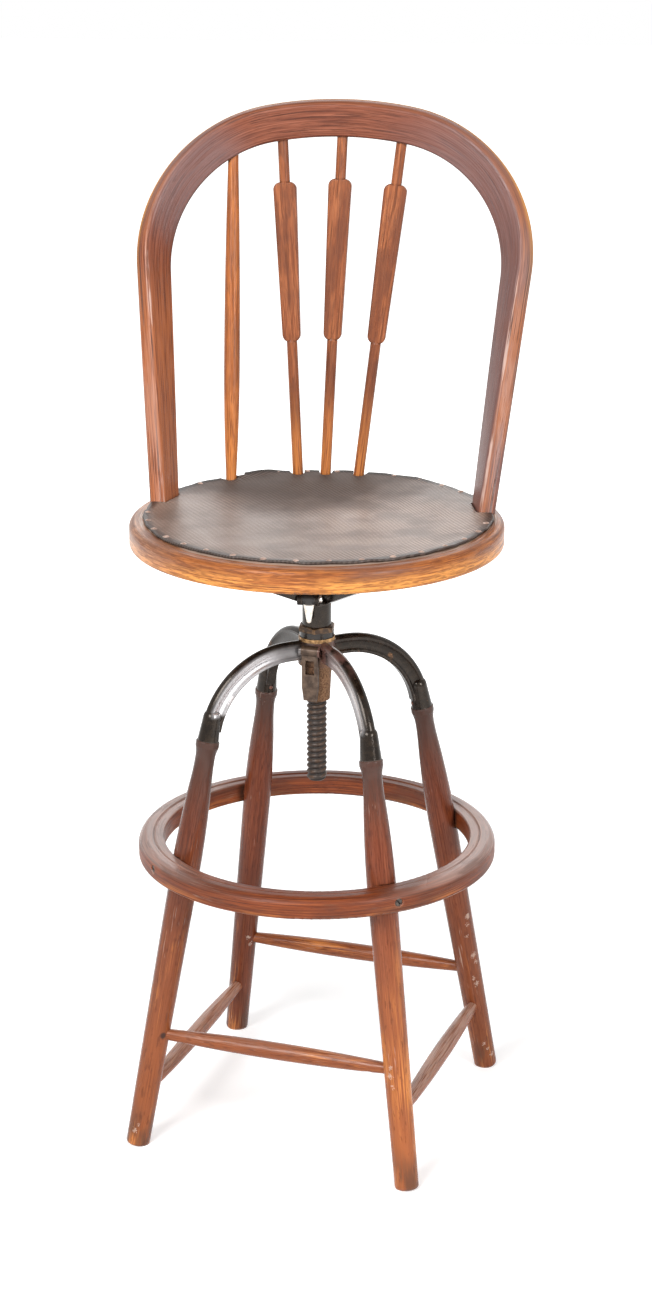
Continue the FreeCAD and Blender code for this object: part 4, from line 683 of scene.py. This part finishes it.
def on_leg(corner, height, turn=None):
    """Point on the axis of a leg at a height, or on its surface in one direction."""
    share = height / JOINT_HEIGHT
    axis = polar(FOOT_CIRCLE + (JOINT_CIRCLE - FOOT_CIRCLE) * share, LEG_ANGLES[corner], height)
    return axis if turn is None else axis + polar(LEG_RADIUS, turn)


def spots_on(corner, spots):
    """Centres and radii of the spots on one leg."""
    return [(on_leg(corner, height, turn), radius) for height, turn, radius in spots.get(corner, [])]


# How far each leg is worn to orange, and how light its stain is
LEG_WEAR = {"back_right": 0.35, "back_left": 0.05, "front_left": 0.6, "front_right": 1.0}
LEG_TONE = {"back_right": 0.85, "back_left": 0.85, "front_left": 0.8, "front_right": 1.15}
# Paint specks and a peg hole: height, direction round the leg, radius
PALE_SPOTS = {"back_right": [(0.203, -40.0, 0.0042), (0.192, -52.0, 0.0027), (0.178, -62.0, 0.0024),
                             (0.152, -44.0, 0.0045), (0.143, -36.0, 0.0032), (0.122, -64.0, 0.0027),
                             (0.114, -56.0, 0.0040), (0.034, -72.0, 0.0034), (0.026, -58.0, 0.0027),
                             (0.018, -36.0, 0.0037)],
              "front_right": [(0.138, -112.0, 0.0029), (0.128, -118.0, 0.0038), (0.117, -108.0, 0.0027)],
              "front_left": [(0.020, -110.0, 0.0035), (0.028, -94.0, 0.0024)],
              "back_left": [(0.134, -64.0, 0.0034), (0.124, -50.0, 0.0027)]}
DARK_SPOTS = {"front_left": [(0.132, -52.0, 0.005)]}
for corner in LEG_ANGLES:
    lean = on_leg(corner, JOINT_HEIGHT) - on_leg(corner, 0.0)
    wood = leg_wood(f"leg_oak_{corner}", lean, LEG_WEAR[corner], LEG_TONE[corner],
                    pale_spots=spots_on(corner, PALE_SPOTS), dark_spots=spots_on(corner, DARK_SPOTS))
    dress(f"leg_{corner}", wood)

STRETCHER_WEAR = 0.6
STRETCHER_TONE = 0.9
STRETCHER_DUST = {"front": 0.1, "back": 0.0, "left": 0.3, "right": 0.35}
for name, first, second in (("front", "front_left", "front_right"), ("back", "back_left", "back_right"),
                            ("left", "front_left", "back_left"), ("right", "front_right", "back_right")):
    run = on_leg(second, 0.0) - on_leg(first, 0.0)
    wood = leg_wood(f"stretcher_oak_{name}", run, STRETCHER_WEAR, STRETCHER_TONE, STRETCHER_DUST[name])
    dress(f"stretcher_{name}", wood)

dress("foot_ring", ring_wood())
dress("seat_frame", seat_wood())

for name, aside in SPINDLE_FEET.items():
    low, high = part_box(name)
    foot = Vector((aside, math.sqrt(SPINDLE_CIRCLE ** 2 - aside ** 2), SEAT_TOP))
    top_x = high.x if abs(high.x - aside) > abs(low.x - aside) else low.x
    run = Vector((top_x, high.y, high.z)) - foot
    if name == "spindle_turned":
        wood = spindle_wood(f"{name}_oak", run, TURNED_OAK, 0.35)
    else:
        wood = spindle_wood(f"{name}_oak", run, ARROW_OAK, 0.65)
    dress(name, wood)

front_left, front_right = LEG_ANGLES["front_left"], LEG_ANGLES["front_right"]
left_arm_side = polar(1.0, front_left + 90.0)
right_arm_side = polar(1.0, front_right - 75.0, 0.2)
# Places on the spider: centre and radius, for the bright ones, where rubbed metal is laid as a painted
# sheen, also the side rubbed and its share
HUB_RUST = [((0.0, 0.0, 0.516), 0.046)]
ARM_RED = [(polar(0.046, front_right, 0.548), 0.052)]
ARM_RUBBED_SHEEN = [(polar(0.100, front_left, 0.525), 0.072, left_arm_side, 1.0),
              (polar(0.050, front_left, 0.552), 0.050, left_arm_side, 0.3),
              (polar(0.060, front_left - 90.0, 0.556), 0.055, Z_AXIS, 0.35),
              (polar(0.080, front_right, 0.536), 0.060, right_arm_side, 0.45),
              (polar(0.112, front_right, 0.512), 0.050, right_arm_side, 0.55)]
dress("spider", painted_iron("spider_paint", 0.04, HUB_RUST, ARM_RED, ARM_RUBBED_SHEEN))
dress("seat_iron", painted_iron("seat_iron_paint", 0.10))
# Bare metals: dark and bright colour, metallic share, roughness when bright and when tarnished, fineness
BARE_METALS = {"rusty_iron_bare": ((0.030, 0.021, 0.016), (0.098, 0.068, 0.050), 0.3, 0.45, 0.72, 420.0),
               "latch_iron_brown": ((0.040, 0.022, 0.013), (0.112, 0.068, 0.042), 0.3, 0.34, 0.6, 120.0),
               "pin_iron_red": ((0.050, 0.016, 0.009), (0.15, 0.050, 0.026), 0.2, 0.4, 0.6, 400.0),
               "washer_brass": ((0.17, 0.092, 0.036), (0.50, 0.29, 0.12), 0.5, 0.35, 0.6, 300.0),
               "worn_nickel": ((0.52, 0.44, 0.37), (0.80, 0.74, 0.68), 0.95, 0.2, 0.34, 90.0),
               "dark_screw_steel": ((0.035, 0.028, 0.024), (0.12, 0.10, 0.085), 0.6, 0.4, 0.6, 160.0),
               "tack_copper": ((0.26, 0.155, 0.115), (0.62, 0.45, 0.37), 0.5, 0.28, 0.5, 200.0)}
metals = {name: old_metal(name, *values) for name, values in BARE_METALS.items()}
for node, metal in (("latch", "latch_iron_brown"), ("latch_pin", "latch_iron_brown"),
                    ("swivel_washer", "rusty_iron_bare"), ("swivel_nut", "rusty_iron_bare"),
                    ("bearing_washer", "washer_brass"), ("clamp_pin", "worn_nickel"),
                    ("seat_iron_screws", "dark_screw_steel"), ("seat_tacks", "tack_copper")):
    dress(node, metals[metal])
dress("height_nut", nut_metal())
dress("clamp_lever", lever_metal())


# Modelled pieces

def new_piece(name, points, faces, body, material):
    mesh = bpy.data.meshes.new(name)
    mesh.from_pydata(points, [], faces)
    shell = bmesh.new()
    shell.from_mesh(mesh)
    bmesh.ops.recalc_face_normals(shell, faces=shell.faces)
    shell.to_mesh(mesh)
    shell.free()
    mesh.polygons.foreach_set("use_smooth", [True] * len(mesh.polygons))
    piece = bpy.data.objects.new(name, mesh)
    bpy.context.scene.collection.objects.link(piece)
    mesh.materials.append(material)
    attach(piece, body)
    return piece


def skin(rings):
    """Faces of a tube through rings of as many points each, closed at both ends."""
    count = len(rings[0])
    points = [point for ring in rings for point in ring]
    faces = []
    for step in range(len(rings) - 1):
        for place in range(count):
            beside = (place + 1) % count
            low, high = step * count, (step + 1) * count
            faces.append((low + place, low + beside, high + beside, high + place))
    faces.append(tuple(reversed(range(count))))
    faces.append(tuple(range((len(rings) - 1) * count, len(rings) * count)))
    return points, faces


# Bow

BOW_FOOT_HALF = 0.177
BOW_FOOT_BACK = 0.0545
BOW_LEAN = math.radians(22.0)
BOW_HEADING = math.radians(84.5)
BOW_LEG = 0.260
BOW_SHOULDER_RADIUS = 0.155
BOW_SHOULDER_TURN = math.radians(84.5)
BOW_WIDTH = 0.040
BOW_THICKNESS = 0.0195
BOW_FOOT_DISH = math.radians(17.0)
BOW_SHOULDER_DISH = math.radians(35.0)
BOW_TOP_DISH = math.radians(58.0)
BOW_FRONT_ROUND = 0.006
BOW_REAR_ROUND = 0.0035
BOW_BELOW_SEAT = 0.016
BOW_UP = Vector((0, math.sin(BOW_LEAN), math.cos(BOW_LEAN)))
BOW_FRONT = Vector((0, -math.cos(BOW_LEAN), math.sin(BOW_LEAN)))
SHOULDER_RUN = BOW_SHOULDER_RADIUS * BOW_SHOULDER_TURN
CROWN_TURN = math.pi - BOW_HEADING - BOW_SHOULDER_TURN


def bend(x, up, heading, radius, turn):
    """Point and heading after a left bend that starts at (x, up)."""
    end = heading + turn
    return (x + radius * (math.sin(end) - math.sin(heading)),
            up - radius * (math.cos(end) - math.cos(heading)), end)


def bow_leg(run):
    return BOW_FOOT_HALF + run * math.cos(BOW_HEADING), run * math.sin(BOW_HEADING), BOW_HEADING


SHOULDER_END = bend(*bow_leg(BOW_LEG), BOW_SHOULDER_RADIUS, BOW_SHOULDER_TURN)
CROWN_RADIUS = SHOULDER_END[0] / math.sin(CROWN_TURN)
HALF_RUN = BOW_LEG + SHOULDER_RUN + CROWN_RADIUS * CROWN_TURN


def bow_line(run):
    """Distance aside, distance up the leaning plane and heading of the right half of the bow."""
    if run <= BOW_LEG:
        return bow_leg(run)
    past = run - BOW_LEG
    if past <= SHOULDER_RUN:
        return bend(*bow_leg(BOW_LEG), BOW_SHOULDER_RADIUS, past / BOW_SHOULDER_RADIUS)
    return bend(*SHOULDER_END, CROWN_RADIUS, (past - SHOULDER_RUN) / CROWN_RADIUS)


def bow_dish(run):
    """Turn of the band about its line: slow along the leg, quick through the shoulder."""
    if run <= BOW_LEG:
        return BOW_FOOT_DISH + (BOW_SHOULDER_DISH - BOW_FOOT_DISH) * max(run, 0.0) / BOW_LEG
    share = min(1.0, (run - BOW_LEG) / SHOULDER_RUN)
    return BOW_SHOULDER_DISH + (BOW_TOP_DISH - BOW_SHOULDER_DISH) * math.sin(share * math.pi / 2)


def band_outline():
    """Points of the rounded band section, as distances across the width and out of the bow."""
    points = []
    for start, across, out, radius in ((0, 1, 1, BOW_FRONT_ROUND), (90, -1, 1, BOW_REAR_ROUND),
                                       (180, -1, -1, BOW_REAR_ROUND), (270, 1, -1, BOW_FRONT_ROUND)):
        for step in range(6):
            turn = math.radians(start + 18.0 * step)
            points.append((across * (BOW_WIDTH / 2 - radius) + radius * math.cos(turn),
                           out * (BOW_THICKNESS / 2 - radius) + radius * math.sin(turn)))
    return points


def bow_ring(run, side):
    """Points of the band section at a distance along one half of the bow."""
    aside, up, heading = bow_line(run)
    dish = bow_dish(run)
    outward = X_AXIS * (side * math.sin(heading)) - BOW_UP * math.cos(heading)
    middle = Vector((side * aside, BOW_FOOT_BACK, SEAT_TOP)) + BOW_UP * up
    width = BOW_FRONT * math.cos(dish) + outward * math.sin(dish)
    thick = outward * math.cos(dish) - BOW_FRONT * math.sin(dish)
    return [middle + width * across + thick * out for across, out in BAND]


BAND = band_outline()


def make_bow():
    """Bent band that leans back, its face turned from inward at the feet to forward at the top."""
    steps = 110
    runs = [-BOW_BELOW_SEAT + (HALF_RUN + BOW_BELOW_SEAT) * step / steps for step in range(steps + 1)]
    places = [(run, 1) for run in runs] + [(run, -1) for run in reversed(runs[:-1])]
    points, faces = skin([bow_ring(run, side) for run, side in places])
    wood = bow_wood(BOW_WIDTH / 2, BOW_THICKNESS / 2)
    piece = new_piece("bow_band", points, faces, "seat", wood)
    grain = []
    for run, side in places:
        along = run if side > 0 else 2 * HALF_RUN - run
        grain.extend((across, out, along) for across, out in BAND)
    store = piece.data.attributes.new("grain", "FLOAT_VECTOR", "POINT")
    store.data.foreach_set("vector", [part for item in grain for part in item])
    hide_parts("bow")


make_bow()


# Threaded height screw

SCREW_RADIUS = 0.0112
SCREW_BOTTOM = 0.400
SCREW_SHOULDER = 0.648
SCREW_PITCH = 0.00635
THREAD_DEPTH = 0.0022
CREST_FULLNESS = 0.6
SCREW_CHAMFER = 0.003
CHAMFER_SLOPE = 0.9
JOURNAL_RADIUS = 0.006
JOURNAL_TOP = 0.672


def make_screw():
    """Right-hand rounded thread from the lower end to the shoulder, with a plain journal above."""
    columns = 48
    rows_in_pitch = 9
    rows = int((SCREW_SHOULDER - SCREW_BOTTOM) / SCREW_PITCH * rows_in_pitch)
    turns = [360.0 * step / columns for step in range(columns)]
    rings = []
    crests = []
    for row in range(rows + 1):
        height = SCREW_BOTTOM + (SCREW_SHOULDER - SCREW_BOTTOM) * row / rows
        limit = SCREW_RADIUS - max(0.0, SCREW_CHAMFER - (height - SCREW_BOTTOM)) * CHAMFER_SLOPE
        waves = [math.cos(2 * math.pi * (height / SCREW_PITCH - turn / 360.0)) for turn in turns]
        shares = [(0.5 + 0.5 * wave) ** CREST_FULLNESS for wave in waves]
        rings.append([polar(min(limit, SCREW_RADIUS - THREAD_DEPTH * (1.0 - share)), turn, height)
                      for turn, share in zip(turns, shares)])
        crests.extend(shares)
    for height in (SCREW_SHOULDER, JOURNAL_TOP):
        rings.append([polar(JOURNAL_RADIUS, turn, height) for turn in turns])
        crests.extend([1.0] * columns)
    points, faces = skin(rings)
    piece = new_piece("height_screw_threaded", points, faces, "screw", screw_metal())
    store = piece.data.attributes.new("crest", "FLOAT", "POINT")
    store.data.foreach_set("value", crests)
    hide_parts("height_screw")


make_screw()


# Leather panel

LEATHER_THICKNESS = 0.003
FRAME_HOLE = 0.146
FOOT_GAP = 0.0008
SPINDLE_NOTCH = 0.0075
TEAR_DEGREES = 125.6
TEAR_HALF = 2.2
TEAR_DEPTH = 0.008
LEATHER_SAG = 0.0055
EDGE_INSET = 0.0020
LIP_HEIGHT = 0.0040
TACK_WAVE = 0.0004
TACK_WAVES = 26
# Rounded cut edge: share of the reach, share of half the thickness
CUT_EDGE = (0.998, 0.75), (1.0, 0.0), (0.998, -0.75)
# Wander of the cut edge: amount, count round the panel, phase
EDGE_WANDER = (0.0008, 5, 0.6), (0.0006, 13, 2.0), (0.0005, 29, 0.9), (0.0003, 61, 0.3)
# Loose stretches of the edge: middle and half width in degrees, share of the full lip
LOOSE_EDGES = (119.0, 8.5, 1.0), (62.0, 9.0, 0.35)


def bow_foot(side):
    """Outline of a bow foot where it meets the seat top."""
    lean = X_AXIS * (side * math.cos(BOW_HEADING)) + BOW_UP * math.sin(BOW_HEADING)
    return [point - lean * ((point.z - SEAT_TOP) / lean.z) for point in bow_ring(0.0, side)]


BOW_FEET = [bow_foot(1), bow_foot(-1)]


def reach_to_outline(turn, outline):
    """Distance from the middle of the panel to the nearest side of an outline, along one direction."""
    ahead = Vector((math.cos(turn), math.sin(turn)))
    aside = Vector((-ahead.y, ahead.x))
    start = Vector((0.0, LEATHER_BACK))
    nearest = math.inf
    for first, second in zip(outline, outline[1:] + outline[:1]):
        a, b = first.xy - start, second.xy - start
        low, high = a.dot(aside), b.dot(aside)
        if low * high < 0:
            hit = a.lerp(b, low / (low - high)).dot(ahead)
            if hit > 0:
                nearest = min(nearest, hit)
    return nearest


def leather_edge(degrees):
    """Distance of the cut edge from the middle of the panel, with its wander and its notches."""
    turn = math.radians(degrees)
    wander = sum(amount * math.sin(count * turn + phase) for amount, count, phase in EDGE_WANDER)
    edge = LEATHER_RADIUS - EDGE_INSET + wander
    edge = min([edge] + [reach_to_outline(turn, outline) - FOOT_GAP for outline in BOW_FEET])
    tear = max(0.0, 1.0 - abs(degrees - TEAR_DEGREES) / TEAR_HALF)
    edge -= TEAR_DEPTH * min(1.0, tear * 2.5)
    for aside in SPINDLE_FEET.values():
        back = math.sqrt(SPINDLE_CIRCLE ** 2 - aside ** 2) - LEATHER_BACK
        reach = math.hypot(aside, back)
        off = reach * math.radians((degrees - math.degrees(math.atan2(back, aside)) + 180) % 360 - 180)
        if abs(off) < SPINDLE_NOTCH:
            edge = min(edge, reach - math.sqrt(SPINDLE_NOTCH ** 2 - off ** 2))
    return edge


def leather_lift(degrees, share):
    """Curl of the loose edge, highest at the back left, and the small waves between the tacks."""
    loose = sum(part * math.exp(-((degrees - middle) / half) ** 2) for middle, half, part in LOOSE_EDGES)
    curl = LIP_HEIGHT * loose * max(0.0, (share - 0.9) / 0.1) ** 1.5
    wave = TACK_WAVE * (1 + math.sin(math.radians(TACK_WAVES * degrees)))
    return curl + wave * max(0.0, (share - 0.94) / 0.06)


def make_leather():
    """Panel tacked to the seat frame: it sags a little over the open middle."""
    columns = 720
    shares = [0.02, 0.15, 0.3, 0.45, 0.58, 0.68, 0.75, 0.79, 0.83, 0.88, 0.91, 0.94, 0.96, 0.98, 0.993]
    half = LEATHER_THICKNESS / 2
    degrees = [360.0 * column / columns for column in range(columns)]
    edges = {angle: leather_edge(angle) for angle in degrees}

    def sheet_point(angle, share, rise):
        reach = edges[angle] * share
        turn = math.radians(angle)
        x, y = reach * math.cos(turn), LEATHER_BACK + reach * math.sin(turn)
        inner = max(0.0, 1.0 - (math.hypot(x, y) / FRAME_HOLE) ** 2)
        sag = LEATHER_SAG * inner * min(1.0, inner * 3.0) ** 0.5
        return Vector((x, y, SEAT_TOP + half - sag + rise + leather_lift(angle, share)))

    rings = [[sheet_point(angle, share, half) for angle in degrees] for share in shares]
    rings.extend([sheet_point(angle, share, half * rise) for angle in degrees] for share, rise in CUT_EDGE)
    rings.extend([sheet_point(angle, share, -half) for angle in degrees] for share in reversed(shares))
    points, faces = skin(rings)
    piece = new_piece("seat_leather_panel", points, faces, "seat", leather_material())
    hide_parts("seat_leather")


make_leather()


# Slotted screws of the foot ring

RING_OUTER = 0.1994
RING_MIDDLE = 0.3266
SCREW_HEAD = 0.0049
SCREW_SHANK = 0.0024
SCREW_LENGTH = 0.044
SLOT_HALF = 0.0007
SLOT_DEPTH = 0.0013
HEAD_DEPTH = 0.0010
HEAD_OVERLAP = 0.0002
SLOT_TURNS = {"back_right": 75.0, "back_left": 20.0, "front_left": 85.0, "front_right": 40.0}


def screw_rings(corner):
    """Shank and head under the slot, then the two halves of the head beside it, as lists of rings."""
    out = polar(1.0, LEG_ANGLES[corner])
    side = Z_AXIS.cross(out)
    face = RING_OUTER - HEAD_DEPTH

    def ring(reach, outline):
        centre = polar(reach, LEG_ANGLES[corner], RING_MIDDLE)
        return [centre + side * u + Z_AXIS * v for u, v in outline]

    def circle(radius):
        return [(radius * math.cos(turn), radius * math.sin(turn))
                for turn in (math.radians(15.0 * step) for step in range(24))]

    def half_disc(sign, radius):
        spread = math.acos(SLOT_HALF / radius)
        slot_turn = math.radians(SLOT_TURNS[corner])
        middle = slot_turn + (0.0 if sign > 0 else math.pi)
        turns = [spread * (step / 8 - 1.0) + middle for step in range(17)]
        return [(radius * math.cos(turn), radius * math.sin(turn)) for turn in turns]

    floor = face - SLOT_DEPTH
    stem = [ring(RING_OUTER - SCREW_LENGTH, circle(SCREW_SHANK * 0.4)),
            ring(RING_OUTER - SCREW_LENGTH + 0.006, circle(SCREW_SHANK)),
            ring(RING_OUTER - 0.004, circle(SCREW_SHANK)),
            ring(floor - HEAD_OVERLAP, circle(SCREW_HEAD)), ring(floor, circle(SCREW_HEAD))]
    halves = []
    for sign in (1, -1):
        whole = half_disc(sign, SCREW_HEAD)
        rounded = half_disc(sign, SCREW_HEAD - 0.0008)
        halves.append([ring(floor - HEAD_OVERLAP, whole), ring(face - 0.0005, whole),
                       ring(face, rounded)])
    return [stem] + halves


def make_set(name, tubes, material, node):
    """One piece of the base made of several closed tubes, in place of a node."""
    points = []
    faces = []
    for rings in tubes:
        own_points, own_faces = skin(rings)
        faces.extend(tuple(index + len(points) for index in face) for face in own_faces)
        points.extend(own_points)
    piece = new_piece(name, points, faces, "base", material)
    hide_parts(node)


make_set("foot_ring_slotted_screws", [rings for corner in LEG_ANGLES for rings in screw_rings(corner)],
         metals["dark_screw_steel"], "foot_ring_screws")


# Pins of the leg sockets

PIN_ALONG = 0.0065
PIN_RADIUS = 0.0022
SOCKET_FACE = 0.0113
# Low dome of a pin head: height over the socket, share of the radius
PIN_DOME = (0.0001, 1.0), (0.0005, 0.8), (0.0007, 0.4)


def pin_rings(corner):
    """A pin driven from the inner side of a socket, with a low domed head."""
    up = (on_leg(corner, JOINT_HEIGHT) - on_leg(corner, 0.0)).normalized()
    side = Z_AXIS.cross(up).normalized()
    inward = side.cross(up)
    centre = on_leg(corner, JOINT_HEIGHT) + up * PIN_ALONG
    turns = [math.radians(22.5 * step) for step in range(16)]
    around = [side * math.cos(turn) + up * math.sin(turn) for turn in turns]
    outline = [(0.0, 1.0)] + [(SOCKET_FACE + rise, share) for rise, share in PIN_DOME]
    return [[centre + inward * reach + direction * (PIN_RADIUS * share) for direction in around]
            for reach, share in outline]


make_set("socket_pin_heads", [pin_rings(corner) for corner in LEG_ANGLES],
         metals["pin_iron_red"], "socket_pins")


# Stage, light and camera

# Rays that see the plain white background
BACKGROUND_RAYS = ("Is Camera Ray", "Is Glossy Ray", "Is Transmission Ray")


def make_floor():
    """Pale floor that keeps the shadow near the stool and goes over to white farther off."""
    mesh = bpy.data.meshes.new("floor")
    reach = 12.0
    mesh.from_pydata([(-reach, -reach, 0), (reach, -reach, 0), (reach, reach, 0), (-reach, reach, 0)],
                     [], [(0, 1, 2, 3)])
    floor = bpy.data.objects.new("floor", mesh)
    bpy.context.scene.collection.objects.link(floor)
    shader = Shader("pale_floor")
    seen = 0.0
    for ray in BACKGROUND_RAYS:
        seen = shader.largest(seen, shader.add("ShaderNodeLightPath", {}, ray))
    far = shader.spread(shader.reach(shader.position()), 0.5, 1.7)
    glow = shader.between(seen, 0.08, shader.between(far, 0.36, 1.0))
    shader.colour = (0.90, 0.90, 0.90, 1.0)
    mesh.materials.append(shader.finish(Roughness=0.9, Emission_Color=(1.0, 1.0, 1.0, 1.0),
                                        Emission_Strength=glow))


def make_world():
    """Soft light, brighter behind the stool than in front of it, and a plain white background."""
    world = bpy.data.worlds.new("studio")
    bpy.context.scene.world = world
    sky = Nodes(world, "Background")
    depth = sky.part_of(sky.add("ShaderNodeTexCoord", {}, "Generated"), "Y")
    strength = sky.add("ShaderNodeMapRange", {"Value": depth, "From Min": -0.35, "From Max": 0.65,
                                              "To Min": 0.28, "To Max": 0.44})
    for ray in BACKGROUND_RAYS:
        strength = sky.largest(strength, sky.add("ShaderNodeLightPath", {}, ray))
    sky.set(Color=(1.0, 1.0, 1.0, 1.0), Strength=strength)


def area_light(name, place, target, size, power):
    lamp = bpy.data.lights.new(name, "AREA")
    lamp.size = size
    lamp.energy = power
    light = bpy.data.objects.new(name, lamp)
    light.location = place
    light.rotation_euler = (Vector(target) - Vector(place)).to_track_quat("-Z", "Y").to_euler()
    bpy.context.scene.collection.objects.link(light)


CAMERA_DISTANCE = 2.8917
CAMERA_HEIGHT = 1.4935
CAMERA_AZIMUTH = 7.0
CAMERA_PITCH = 17.95
FOCAL_PIXELS = 2770.0
IMAGE_HEIGHT = 1289.0
AXIS_LEFT_OF_MIDDLE = 9.2


def make_camera():
    lens = bpy.data.cameras.new("camera")
    lens.sensor_width = 36.0
    lens.lens = FOCAL_PIXELS / IMAGE_HEIGHT * lens.sensor_width
    lens.shift_x = AXIS_LEFT_OF_MIDDLE / IMAGE_HEIGHT
    camera = bpy.data.objects.new("camera", lens)
    camera.location = polar(CAMERA_DISTANCE, CAMERA_AZIMUTH - 90.0, CAMERA_HEIGHT)
    camera.rotation_euler = (math.radians(90.0 - CAMERA_PITCH), 0.0, math.radians(CAMERA_AZIMUTH))
    bpy.context.scene.collection.objects.link(camera)
    bpy.context.scene.camera = camera


make_floor()
make_world()
area_light("key", (-1.3, -2.6, 2.4), (0.0, 0.0, 0.6), 1.6, 112.0)
area_light("fill", (2.2, -2.0, 1.6), (0.0, 0.0, 0.6), 1.0, 56.0)
area_light("rear", (-0.1, 3.2, 1.9), (0.0, 0.0, 0.7), 2.2, 20.0)
make_camera()
bpy.context.scene.view_settings.view_transform = "Standard"
